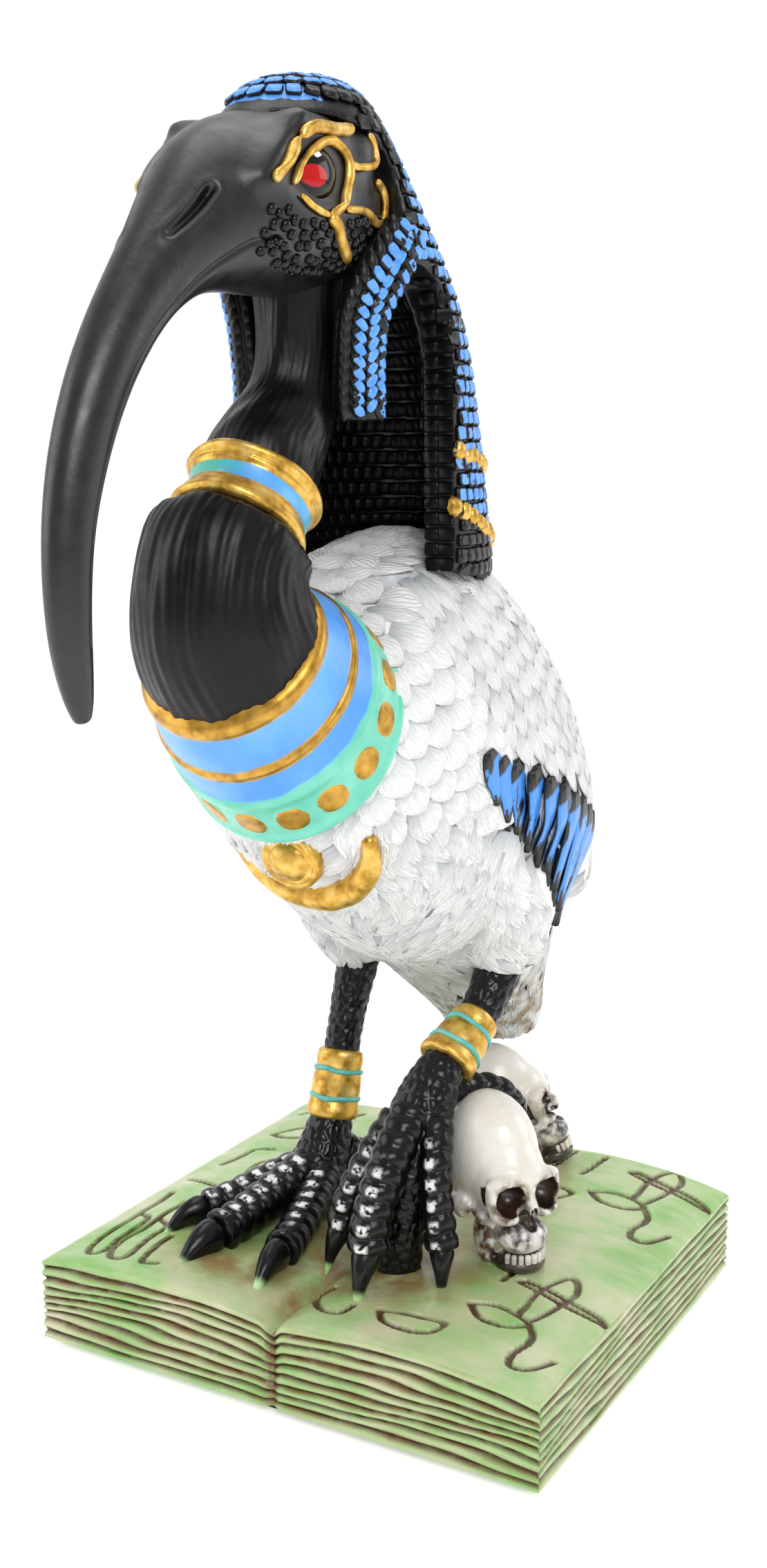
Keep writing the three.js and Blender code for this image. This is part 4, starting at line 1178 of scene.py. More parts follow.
# Painted shade: grey towards each tuft's root, under the tufts that overlap it, plus grey at random.
tone = ramp(tuft_white, sum_of(tuft_white, mark_of(tuft_white, "painted_shade"), ramp(
    tuft_white, spots(tuft_white, 90, 5), (0.45, share_none), (0.75, (0.3, 0.3, 0.3, 1)))),
    (0.05, bright),
    (1.0, shade("c9ccd0")))
soiled = sum_of(tuft_white, mark_of(tuft_white, "dirt"), ramp(
    tuft_white, spots(tuft_white, 330, 6), (0.42, share_none), (0.62, (0.85, 0.85, 0.85, 1))),
    "MULTIPLY")
use(tuft_white, "Base Color", blended(tuft_white, soiled, tone, shade("9c8560")))
bump(tuft_white, barbs(tuft_white, 30, 0.25), 0.1 * mm, 0.8)
for curl, name in ((-1, "downy_tufts_right"), (1, "downy_tufts_left")):
    tuft = feather(name, *tuft_size, (6, 6), 0.5, 0.5, 0.28)
    bow = points_of(tuft)
    bow[:, 0] += curl * (1.5 * np.cos(np.pi * bow[:, 1] / (tuft_size[1] * mm)) - 0.8) * mm
    move_points(tuft, bow)
    tufts = laid(tuft, tuft_seeds[max(curl, 0)::2], skin_tree, 0.45 * mm)
    at = points_of(tufts) / mm
    set_mark(tufts, "dirt", np.clip((66 - at[:, 2]) / 8, 0, 1) * np.clip((at[:, 1] - 15) / 8, 0, 1))
    finish_piece(tufts, [tuft_white], 60)
    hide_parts("ibis_figure")

# The dark wing patches
# Lance-shaped feathers along each wing's lower edge, black at root and tip, with bright blue
# streaked areas between.
plume_starts = [(-16.8, 110.6), (-13, 108.9), (-9, 107.2), (-5, 105.3), (-1, 103.6), (3.5, 101.6),
                (8, 99.4), (12.5, 97.2), (17, 95), (21, 92.8)]
plume_ends = [(-13.6, 101.5), (-9.7, 97.9), (-5.7, 95), (-1.5, 92.6), (2.3, 89.9), (5.8, 86),
              (9.2, 81.7), (12.8, 77), (16.2, 73.2), (18.4, 69.8)]
plume_widths = [1.5, 2.6, 3.3, 3.5, 3.3, 2.8, 2.2, 1.4, 0.4]
patch_paint = new_paint("wing_blue", 0.36, coat=0.15)
streak = spots(patch_paint, 480, 3, (0.6, 1.0, 0.24))
blue = shade("3f8fe6")
painted = sum_of(patch_paint, mark_of(patch_paint, "blue"), ramp(
    patch_paint, streak, (0.4, share_none), (0.43, share_full)), "MULTIPLY")
use(patch_paint, "Base Color", blended(patch_paint, painted, shade("0d0d0f"), blue))
bump(patch_paint, spots(patch_paint, 700, 5, (0.6, 1.0, 0.3)), 0.2 * mm, 0.6)


def wing_side_x(side, y, z):
    """How far out the wing's skin is at this height and depth."""
    hit, _, _, _ = skin_tree.ray_cast(Vector((side * 60, y, z + page_lift)) * mm, Vector((-side, 0, 0)))
    return None if hit is None else abs(hit.x) / mm


plumes = []
for side in (-1, 1):
    steps = np.arange(0, len(plume_starts) - 0.9, 0.5)
    for step in steps:
        start = np.array([np.interp(step, range(len(plume_starts)), [p[k] for p in plume_starts])
                          for k in (0, 1)])
        end = np.array([np.interp(step, range(len(plume_ends)), [p[k] for p in plume_ends])
                        for k in (0, 1)])
        under = step % 1 > 0.2
        shares = np.linspace(-0.22 if under else -0.1, 1.06 if under else 1, len(plume_widths))
        line = start + (end - start) * shares[:, None]
        line[:, 0] += 1.2 * np.sin(np.pi * np.clip(shares, 0, 1))
        xs = []
        for y, z in line:
            x = wing_side_x(side, y, z)
            xs.append(x if x is not None else (xs[-1] if xs else 25))
        xs = np.convolve(np.pad(xs, 2, mode="edge"), np.ones(5) / 5, "valid")
        height = -0.3 if under else 0.5
        girth = np.array(plume_widths) * (0.8 if under else 1)
        rows = np.column_stack((side * (xs + height), line, girth, 0.75 + 0 * girth))
        plume = drawn_out("plume", limb_rings(rounded_line(rows, 2), 12, np.array((0, 0.85, 0.55))), 1)
        turn = round_angle(plume)
        share = mark_values(plume, "along")
        share /= share.max()
        push(plume, 0.22 * mm * np.abs(np.sin(4 * turn + 2 * share)) ** 0.7 - 0.12 * mm)
        middle = ((np.abs(np.cos(turn - 0.2)) < 0.93) & (share > 0.17)
                  & (share < 0.82 + 0.06 * np.sin(7 * turn)))
        set_mark(plume, "blue", middle * (0.0 if under else 1.0))
        plumes.append(plume)
patch = joined(plumes, "wing_patches")
finish_piece(patch, [patch_paint])
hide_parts("ibis_figure")

# The neck
# Satin black, carved with wavy upright folds, with a round bulb below its ring.
neck_rows = [
    (-33.5, 190, 0, 8, 8), (-33.5, 180, 0, 6.6, 7.1), (-34.5, 171, -8, 6.5, 7.2),
    (-38.5, 164, -26, 8, 8.6),
    (-44.6, 157.4, -42, 9.2, 9.2), (-47.9, 152.2, -41, 8.7, 8.7), (-50.2, 149.0, -40, 9.0, 9.0),
    (-51.4, 147.4, -39, 10.2, 10.2),
    (-52.5, 146.0, -36, 12.6, 12.7), (-55.0, 142.4, -20, 12.9, 13.2), (-55.2, 134.5, 8, 14.5, 14),
    (-51, 127.5, 35, 14.5, 14), (-46, 123, 50, 13.6, 13.4),
]
head_black = new_paint("head_black", 0.36)
head_black.node_tree.nodes["Principled BSDF"].inputs["Specular IOR Level"].default_value = 0.26
use(head_black, "Base Color", ramp(head_black, spots(head_black, 120, 5), (0.35, shade("050506")),
                                   (0.8, shade("0e0e10"))))
use(head_black, "Roughness", ramp(head_black, spots(head_black, 420, 5), (0.3, (0.3, 0.3, 0.3, 1)),
                                  (0.7, (0.44, 0.44, 0.44, 1))))
bump(head_black, spots(head_black, 1300, 5), 0.08 * mm, 0.4)
neck = drawn_out("neck", trunk_rings(rounded_line(neck_rows, 3), 24))
worked(neck, "SUBSURF", levels=1, render_levels=1)
turn, along = round_angle(neck), mark_values(neck, "along")
strands = (np.sin(43 * turn + 1.8 * np.sin(along / 4.2) + 1.2 * np.sin(along / 2.1 + 3 * turn))
           + 0.7 * np.sin(29 * turn + 1.7 * np.sin(along / 3.3 + 2)))
folds = ripples(points_of(neck) / mm * (1, 1, 0.35), 51, 7)
on_bulb = np.clip((along - 47) / 3, 0, 1)
push(neck, mm * ((0.03 + 0.05 * on_bulb) * strands + 0.22 * folds))
finish_piece(neck, [head_black])
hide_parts("ibis_figure")

# The neck ring
# Two gold-painted ridges with a blue and turquoise channel between them.
ring_middle = np.array((0, -48.5, 151.4))
ring_axis = np.array((0, 0.643, 0.766))
ring_profile = [
    (-4.9, 9.2), (-4.8, 10.2), (-4.3, 10.9), (-3.5, 11.0), (-2.8, 10.6), (-2.2, 10.4), (-1.6, 10.2),
    (-1.3, 9.85), (0.1, 9.75),
    (1.5, 9.85), (1.8, 10.1), (2.2, 10.4), (2.6, 10.3), (2.9, 10.7), (3.5, 11.2), (4.3, 11.0),
    (4.7, 10.3), (4.75, 9.3),
]
band_blue = new_paint("band_blue", 0.38, coat=0.25)
use(band_blue, "Base Color", ramp(band_blue, spots(band_blue, 130, 4, (1, 1, 0.4)),
                                  (0.42, shade("4b98ee")), (0.6, shade("5fa6f2"))))
bump(band_blue, spots(band_blue, 700, 5), 0.1 * mm, 0.4)
ring_blue = new_paint("ring_blue", 0.38, coat=0.25)
use(ring_blue, "Base Color", ramp(ring_blue, spots(ring_blue, 110, 4), (0.42, shade("57a5ea")),
                                  (0.6, shade("4cb8a6"))))
rows = [(0, ring_middle[1] + h * ring_axis[1], ring_middle[2] + h * ring_axis[2], r, r) for h,
        r in ring_profile]
neck_ring = drawn_out("neck_ring", limb_rings(rows, 24, np.array((1.0, 0, 0))))
push(neck_ring, 0.1 * mm * np.sin(5 * round_angle(neck_ring) + mark_values(neck_ring, "along")))


def paint_faces(piece, mark, limits):
    """Gives each face the number of the band that its mean mark falls in."""
    values = mark_values(piece, mark)
    for face in piece.data.polygons:
        mean = sum(values[k] for k in face.vertices) / len(face.vertices)
        face.material_index = int(np.searchsorted(limits, mean)) % 2


paint_faces(neck_ring, "along", [3.6, 6.4])
finish_piece(neck_ring, [gold, ring_blue])
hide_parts("ibis_figure")

# The broad collar
# A gold rim, two blue bands with a gold line between them, and a turquoise ring with gold
# cells between raised bars, all painted by hand on the cast.
collar_start = (-53.2, 129.6, 50, 14.9, 14.5)
collar_end = (-36.2, 116.2, 66, 20.0, 19.4)
collar_profile = [
    (-0.2, -4.5), (-0.06, -1.2), (-0.05, -0.2), (-0.03, 0.5), (0.0, 0.8), (0.03, 0.6), (0.055, 0.1),
    (0.17, 0.3), (0.25, 0.25),
    (0.315, 0.05), (0.325, 0.4), (0.345, 0.65), (0.365, 0.4), (0.375, 0.0), (0.46, 0.2), (0.56, 0.05),
    (0.575, 0.45), (0.605, 0.75), (0.635, 0.5), (0.66, 0.1), (0.78, 0.2), (0.9, 0.1), (0.925, 0.55),
    (0.955, 0.8),
    (0.985, 0.45), (1.0, -0.3), (1.02, -2.6),
]
cell_count = 16
rows = []
for share, bulge in collar_profile:
    y, z, lean, wide, deep = np.array(collar_start) + (np.array(collar_end) - collar_start) * share
    sag = 0.8 * math.sin(math.pi * min(max(share, 0), 1))
    rows.append((y, z, lean, wide + bulge + sag, deep + bulge + sag))
collar = drawn_out("collar", trunk_rings(rows, 28))
worked(collar, "SUBSURF", levels=1, render_levels=1)
lengths = np.linalg.norm(np.diff(np.array(rows)[:, :2], axis=0), axis=1)
across = np.interp(mark_values(collar, "along"), np.concatenate(([0], np.cumsum(lengths))),
                   [share for share, bulge in collar_profile])
turn = round_angle(collar) - math.pi / 2
phase = turn * cell_count / (2 * math.pi)
off_cell = np.abs(phase - np.round(phase)) * 2
in_channel = np.clip((across - 0.65) / 0.02, 0, 1) * np.clip((0.91 - across) / 0.02, 0, 1)
cell = np.clip((1 - np.hypot((across - 0.785) / 0.125, off_cell / 0.78)) / 0.2, 0, 1)
bar = np.exp(-((off_cell - 0.92) / 0.06) ** 2) * in_channel
push(collar, mm * (0.4 * bar + 0.3 * cell))
set_mark(collar, "across", across * 0.75 + 0.2)
set_mark(collar, "cell", cell)
collar_paint = new_paint("collar_paint", 0.36, coat=0.15)
wobble = ramp(collar_paint, spots(collar_paint, 110, 2), (0.3, share_none),
              (0.7, (0.012, 0.012, 0.012, 1)))
edge = sum_of(collar_paint, sum_of(collar_paint, mark_of(collar_paint, "across"), wobble), 0.006,
              "SUBTRACT")
gold_rim, gold_line, green_ring = [[share * 0.75 + 0.2 for share in pair]
                                   for pair in ((-0.25, 0.05), (0.315, 0.385), (0.565, 1.03))]
collar_blue = ramp(collar_paint, spots(collar_paint, 70, 4, (1, 1, 0.5)), (0.38, shade("4a95ea")),
                   (0.62, shade("6aaef4")))
collar_green = ramp(collar_paint, spots(collar_paint, 160, 5), (0.35, shade("60c2a8")),
                    (0.65, shade("7dd4bb")))
collar_gold = ramp(collar_paint, spots(collar_paint, 420, 6), (0.3, shade("946a1c")),
                   (0.6, shade("cf9f40")))


def only(paint, value, *limits):
    """1 between each pair of limits of the value and 0 elsewhere, with crisp edges."""
    stops = []
    for low, high in limits:
        stops += [(low - 0.002, share_none), (low + 0.002, share_full),
                  (high - 0.002, share_full), (high + 0.002, share_none)]
    return ramp(paint, value, *stops)


is_gold = sum_of(collar_paint, only(collar_paint, edge, gold_rim, gold_line), ramp(
    collar_paint, sum_of(collar_paint, mark_of(collar_paint, "cell"), ramp(
        collar_paint, spots(collar_paint, 500, 4), (0.3, share_none), (0.7, (0.5, 0.5, 0.5, 1))),
        "SUBTRACT"),
    (0.2, share_none), (0.26, share_full)))
painted = blended(collar_paint, only(collar_paint, edge, green_ring), collar_blue, collar_green)
use(collar_paint, "Base Color", blended(collar_paint, is_gold, painted, collar_gold))
use(collar_paint, "Metallic", sum_of(collar_paint, is_gold, 0.75, "MULTIPLY"))
bump(collar_paint, spots(collar_paint, 700, 5), 0.1 * mm, 0.5)
finish_piece(collar, [collar_paint])
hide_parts("ibis_figure")

# The pendant
# A gold-painted crescent on the breast below the collar, with a domed disc in its arms.
pendant_shift = 2.2
pendant_rows = []
for k in range(-8, 9):
    t = k / 8
    rise = 1 - math.cos(t * math.pi * 0.5)
    thick = 0.9 + 1.9 * math.cos(t * 1.35)
    pendant_rows.append((pendant_shift + 12.6 * math.sin(t * 1.7), -32.4 - 4.8 * rise,
                         87.4 + 12.5 * rise, thick, thick))
crescent = drawn_out("crescent", limb_rings(pendant_rows, 14, np.array((0, -1, 0.3))))
disc_tilt = math.radians(197)
disc_axis = np.array((0, math.cos(disc_tilt), math.sin(disc_tilt)))
disc_profile = [(-3, 4.6), (-2, 5.4), (0.6, 5.5), (1.3, 5.2), (1.5, 4.8), (0.9, 4.3), (0.7, 3.9),
                (1.6, 3.5), (2.4, 2.7), (2.9, 1.5), (3.1, 0.4)]
rows = [(pendant_shift, -40 + h * disc_axis[1], 95 + h * disc_axis[2], r, r) for h, r in disc_profile]
disc = drawn_out("disc", limb_rings(rows, 18, np.array((1.0, 0, 0))))
pendant = joined([crescent, disc], "pendant")
push(pendant, 0.12 * mm * ripples(points_of(pendant) / mm, 21, 5))
finish_piece(pendant, [gold])
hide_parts("ibis_figure")

# Head and beak
# Satin black, smooth over the crown and beak, with a strong brow, a slit nostril, a doubled
# mouth line and small round scales on the cheeks.
head_rows = [
    (-22, 197.5, 90, 11.2, 9.5), (-34, 196, 92, 13, 12.6), (-46, 196, 96, 13.6, 13.2),
    (-54, 194.4, 108, 12, 12.2),
    (-60, 191.3, 120, 9.6, 10.1), (-66.5, 187.4, 126, 7, 7.3), (-73, 182, 132, 5.4, 5.7),
    (-79, 175.2, 141, 4.7, 5),
    (-84, 167.6, 148, 4.3, 4.6), (-88, 158.6, 160, 3.8, 4.3), (-90.4, 149.4, 172, 3.4, 3.8),
    (-91, 140, 182, 3.1, 3.4),
    (-90.4, 132, 190, 2.7, 2.9), (-89.2, 126, 194, 1.9, 2), (-88.6, 123.4, 194, 1.0, 1.1),
]
brow_front = [(9.4, -58.2, 197.2), (9.6, -54.6, 201), (9.3, -50, 204.6)]
brow_ridge = [(9, -48, 205.4), (9.3, -42, 206.3), (9.2, -36, 206), (8.8, -32, 205)]
temple_boss = (11, -33.5, 203)
eye_middle = (13.2, -46.4, 199.2)
nostril = [(6.4, -65.5, 195.4), (5.8, -67.6, 192.9), (5.0, -70.1, 190.6), (4.2, -72.2, 188.9)]
mouth = [(10.6, -54.7, 189.5), (9.2, -59.2, 188.6), (7.4, -62.8, 186.4), (6.0, -66.7, 183.6),
         (4.6, -71.5, 179.6), (4.4, -76.9, 174.8),
         (4.3, -81.7, 169.3), (3.8, -84.9, 162.8), (3.4, -87.4, 154), (3.1, -88.8, 144),
         (2.8, -89, 134)]
cheek = [(10.5, -55.5, 190.3), (11.5, -48, 188.4), (11.6, -40, 189.2), (11.4, -31, 191.5)]
cheek_reach = 3.9
bead_gap = 1.55 * mm
crown_black = head_black.copy()
crown_black.name = "crown_black"
crown_black.node_tree.nodes["Principled BSDF"].inputs["Specular IOR Level"].default_value = 0.65
head = drawn_out("head_and_beak", trunk_rings(rounded_line(head_rows, 2), 24), 3)
at = points_of(head) / mm - (0, 0, page_lift)
at[:, 0] = np.abs(at[:, 0])
ridge = np.exp(-(distance_to(rounded_line(brow_ridge, 4), at) / 3.3) ** 2)
front_ridge = np.exp(-(distance_to(rounded_line(brow_front, 4), at) / 2.2) ** 2)
boss = np.exp(-(np.linalg.norm(at - temple_boss, axis=1) / 3.0) ** 2)
socket = np.exp(-(np.linalg.norm((at - eye_middle) / (8, 6.6, 4.9), axis=1)) ** 4)
slit_line = rounded_line(nostril)
slit = np.exp(-(distance_to(slit_line, at) / 0.6) ** 2) * np.clip(1 + (at[:, 2] - 194) / 9, 0.35, 1.1)
slit_rim = np.exp(-((distance_to(slit_line, at) - 1.4) / 0.6) ** 2)
lip_line = rounded_line(mouth)
lip = np.exp(-(distance_to(lip_line, at) / 0.5) ** 2)
lip_fold = np.exp(-(distance_to(lip_line[:56] + (0, 1.3, -1.9), at) / 0.5) ** 2)
push(head, mm * (2.7 * ridge + 1.5 * front_ridge + 1.7 * boss - 1.5 * socket - 1.5 * slit
                 + 0.15 * slit_rim - 0.55 * lip - 0.35 * lip_fold))
finish_piece(head, [crown_black])
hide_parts("ibis_figure")
head_tree = BVHTree.FromObject(head, bpy.context.evaluated_depsgraph_get())


def bead(name, size):
    """A small domed bead, flattened, to be laid on a skin many times."""
    fresh()
    bpy.ops.mesh.primitive_uv_sphere_add(segments=8, ring_count=5, radius=0.5)
    drop = bpy.context.object
    drop.name = name
    move_points(drop, points_of(drop) * np.array(size) * mm + (0, 0, 0.05 * mm))
    return drop


skin = points_of(head)
near_cheek = np.flatnonzero((distance_to(rounded_line(cheek, 4), at) < cheek_reach)
                            & (np.abs(skin[:, 0]) > 5 * mm)
                            & (at[:, 1] > -57.5))
bead_seeds = [(Vector(skin[near_cheek[k]]), Vector((0, -0.4, -1)), dice.uniform(0.85, 1.15),
               dice.uniform(0.85, 1.15))
              for k in scattered(skin[near_cheek], bead_gap, 61)]
cheek_beads = laid(bead("cheek_scales", (1.85, 1.85, 1.3)), bead_seeds, head_tree, 0)
finish_piece(cheek_beads, [leg_black])
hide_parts("ibis_figure")

# Eyes and the gold lines round them
# Glossy black balls with a red patch and a white glint, inside gold-painted raised lines.
eye_size = (3.6, 5.7, 4.5)
eye_place = (9.75, -45.8, 199.2)
eye_tilt = 18
red_patch, red_size = (-48.5, 198.8), (2.35, 1.6)
glint, glint_size = (-47.3, 202.1), 0.75
eye_lines = [
    ([(10.6, -58, 197.1), (11.1, -54.9, 199.6), (10.6, -51.6, 203.2), (11.6, -47.4, 206),
      (12, -41, 206.9), (11.6, -36, 207.2)], 1.0),
    ([(12.2, -53.4, 196.8), (12.0, -49.2, 201.5), (11.4, -45.8, 204), (11.4, -41.8, 204.6),
      (12, -38.6, 202.8), (13, -39, 199.6), (13.4, -40.4, 197), (13.5, -41.9, 195),
      (13.4, -45.5, 193.5)], 0.75),
    ([(12.5, -52.2, 195.6), (13.1, -49.0, 194.0), (13.4, -45.5, 193.5)], 0.5),
    ([(13.4, -45.5, 193.5), (13.1, -42.9, 192.3), (12.4, -40.7, 190.4), (11.8, -36.5, 188.6)], 1.0),
    ([(13.4, -41.2, 194.8), (13, -35, 195.4), (13, -30.4, 194), (12.8, -28, 195.8), (12.8, -28, 199.4),
      (12.8, -31, 200.4)], 0.65),
    ([(12.6, -38.9, 202), (12.8, -36, 201.6), (12.6, -32, 202.6), (12, -30.8, 204.6),
      (11.6, -33, 206.2)], 0.6),
]
eyes = []
gold_wires = []
for side in (-1, 1):
    x, y, z = eye_place
    eyes.append(ball((side * x, y, z + page_lift), eye_size, (eye_tilt, 0, 0)))
    for line, girth in eye_lines:
        rows = np.array([(side * x, y, z, girth, girth * 0.75) for x, y, z in rounded_line(line, 4)])
        for lift in (0.35, 0.5):
            for row in rows:
                drawn = Vector((row[0], row[1], row[2] + page_lift)) * mm
                inward = Vector((-side, 0, -min(max((row[2] - 199) / 8, 0), 1))).normalized()
                hit, normal, _, _ = head_tree.ray_cast(drawn - inward * 15 * mm, inward, 22 * mm)
                if hit is None:
                    hit, normal, _, _ = head_tree.find_nearest(drawn)
                row[:3] = hit / mm + normal * lift - Vector((0, 0, page_lift))
            rows[1:-1, :3] = (rows[:-2, :3] + 2 * rows[1:-1, :3] + rows[2:, :3]) / 4
        rows[0, 3:] *= 0.6
        rows[-1, 3:] *= 0.6
        gold_wires.append(drawn_out("line", limb_rings(rows, 8, np.array((side * 0.1, 0.7, 0.7))), 1))
eye_balls = joined(eyes, "eyes")
side_view = points_of(eye_balls)[:, 1:] / mm - (0, page_lift)
out_of_red = np.linalg.norm((side_view - red_patch) / red_size, axis=1)
out_of_glint = np.linalg.norm(side_view - np.array(glint), axis=1) / glint_size
set_mark(eye_balls, "red", np.clip(1.5 - out_of_red, 0, 1))
set_mark(eye_balls, "glint", np.clip(1.5 - out_of_glint, 0, 1))
eye_gloss = new_paint("eye_gloss", 0.1)
eye_gloss.node_tree.nodes["Principled BSDF"].inputs["Specular IOR Level"].default_value = 0.35
eye_dark = blended(
    eye_gloss, ramp(eye_gloss, mark_of(eye_gloss, "red"), (0.46, share_none), (0.54, share_full)),
    ramp(eye_gloss, spots(eye_gloss, 300), (0.3, shade("050506")), (0.8, shade("0e0e10"))),
    shade("b51512"))
use(eye_gloss, "Base Color", blended(eye_gloss, ramp(
    eye_gloss, mark_of(eye_gloss, "glint"), (0.46, share_none), (0.54, share_full)), eye_dark,
    shade("f4f4f4")))
finish_piece(eye_balls, [eye_gloss])
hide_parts("ibis_figure")
eye_gold = joined(gold_wires, "eye_lines")
push(eye_gold, 0.06 * mm * ripples(points_of(eye_gold) / mm, 31, 3))
finish_piece(eye_gold, [gold])
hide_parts("ibis_figure")

# The wig
# A thick shell of carved braids: a cap over the crown and a curtain behind the neck, open to
# the front. Painted black, with bright blue dabbed over the blocks that face outward.
wig_rows = [
    (215.7, -30.6, 3.5, 5), (214.1, -31.6, 7.6, 9.7), (210.4, -32.6, 11, 13.6), (204, -33, 14.2, 18.6),
    (195, -29, 16.2, 22.4),
    (184, -21.5, 17.6, 23.6), (172, -16.5, 18, 23.8), (154, -12.6, 18.2, 24.8), (134, -10, 19, 26.6),
]
hollow_rows = [(189, -20, 7, 10), (182, -19.5, 11.5, 15.5), (165, -14, 12.5, 18), (128, -11, 13.4, 20)]
opening = [
    (-80, 207.6), (-50, 207.6), (-46, 208.4), (-40, 208.4), (-33.5, 207.6), (-29.6, 205.8),
    (-27.2, 203.4), (-26.8, 200.5),
    (-26.8, 196.5),
    (-28, 193), (-30, 189.5), (-22, 188), (-17.5, 186), (-15.5, 176), (-15, 141), (12, 135), (12, 128),
    (-80, 128),
]
crown_height = 208.6
block_size = (2.7, 2.3)
block_step = (2.75, 2.5)


def level_rings(rows, sides):
    """Level rings for a form that stands upright: rows of z, y, half width, half depth."""
    return trunk_rings([(y, z, 0, wide, deep) for z, y, wide, deep in rows], sides)


shell = drawn_out("wig_shell", level_rings(rounded_line(wig_rows, 2), 24))
core = drawn_out("core", level_rings(rounded_line(hollow_rows, 2), 20), 1)
fresh()
bpy.ops.mesh.primitive_circle_add(vertices=len(opening), radius=mm)
front_block = bpy.context.object
move_points(front_block, [(-40 * mm, y * mm, (z + page_lift) * mm) for y, z in opening])
bpy.ops.object.mode_set(mode="EDIT")
bpy.ops.mesh.select_all(action="SELECT")
bpy.ops.mesh.edge_face_add()
bpy.ops.mesh.extrude_region_move(TRANSFORM_OT_translate={"value": (80 * mm, 0, 0)})
bpy.ops.mesh.select_all(action="SELECT")
bpy.ops.mesh.normals_make_consistent(inside=False)
fresh()
for tool in (core, front_block):
    worked(shell, "BOOLEAN", operation="DIFFERENCE", object=tool, solver="EXACT")
    bpy.data.objects.remove(tool)
worked(shell, "REMESH", mode="VOXEL", voxel_size=0.6 * mm)
worked(shell, "SMOOTH", factor=0.5, iterations=5)
shell_tree = BVHTree.FromObject(shell, bpy.context.evaluated_depsgraph_get())
braid_paint = new_paint("braid_paint", 0.34)
braid_paint.node_tree.nodes["Principled BSDF"].inputs["Specular IOR Level"].default_value = 0.4
dab_noise = ramp(braid_paint, spots(braid_paint, 380, 3), (0.25, share_none), (0.75, share_full))
dabbed = ramp(braid_paint, sum_of(braid_paint, mark_of(braid_paint, "blue"), sum_of(
    braid_paint, dab_noise, 0.9, "MULTIPLY"), "SUBTRACT"), (0.18, share_none), (0.21, share_full))
bright_blue = ramp(braid_paint, spots(braid_paint, 500, 3), (0.35, shade("4c92ea")),
                   (0.65, shade("6aa9f2")))
use(braid_paint, "Base Color", blended(braid_paint, dabbed, ramp(
    braid_paint, spots(braid_paint, 200, 5), (0.35, shade("070708")), (0.8, shade("131315"))),
    bright_blue))
bump(braid_paint, spots(braid_paint, 1200, 5), 0.12 * mm, 0.5)
at = points_of(shell) / mm
smeared = np.clip((at[:, 2] - page_lift - 210.2) / 0.8, 0, 1) * np.clip((-37 - at[:, 1]) / 5, 0, 1)
set_mark(shell, "blue", 0.95 * smeared)
finish_piece(shell, [braid_paint])
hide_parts("ibis_figure")


def block(name, wide, tall, thick):
    """A rounded block of a braid, to be laid on a skin many times. Its outer face is marked."""
    fresh()
    bpy.ops.mesh.primitive_cube_add(size=1, scale=(wide * mm, tall * mm, thick * mm),
                                    location=(0, 0, 0.2 * thick * mm))
    brick = bpy.context.object
    bpy.ops.object.transform_apply(location=True, rotation=True, scale=True)
    brick.name = name
    worked(brick, "BEVEL", width=0.42 * mm, segments=1, limit_method="NONE")
    places = points_of(brick)
    set_mark(brick, "blue", np.clip((places[:, 2] / mm - 0.3 * thick) / (0.35 * thick), 0, 1))
    return brick


def edge_y(z):
    """Where the wig's front edge is at this height on its side, in drawn millimetres."""
    edge = np.array(opening[3:15])
    return np.interp(z, edge[::-1, 1], edge[::-1, 0])


def bead_row_z(y, front, back):
    """The height of a slanting row of beads that runs back along the hem."""
    return np.interp(y, [-16, 16], [front, back])


wig_spine = np.array(rounded_line([(216.3, -30.6, 0.6, 0.8)] + wig_rows, 6))[::-1]
climb = np.concatenate(([0], np.cumsum(np.hypot(np.diff(wig_spine[:, 0]), np.diff(wig_spine[:, 3])))))
outer_seeds, outer_blue = [], []
for row in range(int(climb[-1] / block_step[1]) + 1):
    z, centre_y, wide, deep = [np.interp(1.5 + block_step[1] * row, climb, wig_spine[:, k])
                               for k in (0, 1, 2, 3)]
    turns = np.linspace(0, 2 * np.pi, 721)
    ring = np.column_stack((wide * np.sin(turns), centre_y + deep * np.cos(turns)))
    around = np.concatenate(([0], np.cumsum(np.linalg.norm(np.diff(ring, axis=0), axis=1))))
    count = int(around[-1] / block_step[0])
    for k in range(count):
        reach = around[-1] * (k + 0.5 * (row % 2)) / count
        x, y = np.interp(reach, around, ring[:, 0]), np.interp(reach, around, ring[:, 1])
        on_crown = z > crown_height
        if not on_crown and y < edge_y(z) + 0.8:
            continue
        if y < -34 and z < 210.6:
            continue
        place = Vector((x, y, z + page_lift)) * mm
        hit, normal, _, far = shell_tree.find_nearest(place)
        if far > 1.5 * mm:
            continue
        downward = Vector((x, y - centre_y, -30 if z < 205 else -8))
        slack = (2.6 if z > 205 else 1.0) * 0.12
        outer_seeds.append((hit, downward + Vector((dice.uniform(-slack, slack), 0, 0)) * 20,
                            dice.uniform(0.82, 1.12), dice.uniform(0.85, 1.15)))
        from_edge = 4 if on_crown else y - edge_y(z)
        amount = min(from_edge / 3 + 0.15, 1) * dice.uniform(0.75, 1.15)
        if z < 212.8 and -41 < y < -26 and abs(x) > 4:
            amount *= 0.2
        if y < -41 and z > 206:
            amount = 1.6
        if z < bead_row_z(y, 151.5, 140):
            amount = 0
        outer_blue.append(amount)
brick = block("wig_blocks", *block_size, 1.1)
brick_points = len(brick.data.vertices)
wig_blocks = laid(brick, outer_seeds, shell_tree, 0.15 * mm)
set_mark(wig_blocks, "blue", mark_values(wig_blocks, "blue") * np.repeat(outer_blue, brick_points))
finish_piece(wig_blocks, [braid_paint], 50)
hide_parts("ibis_figure")

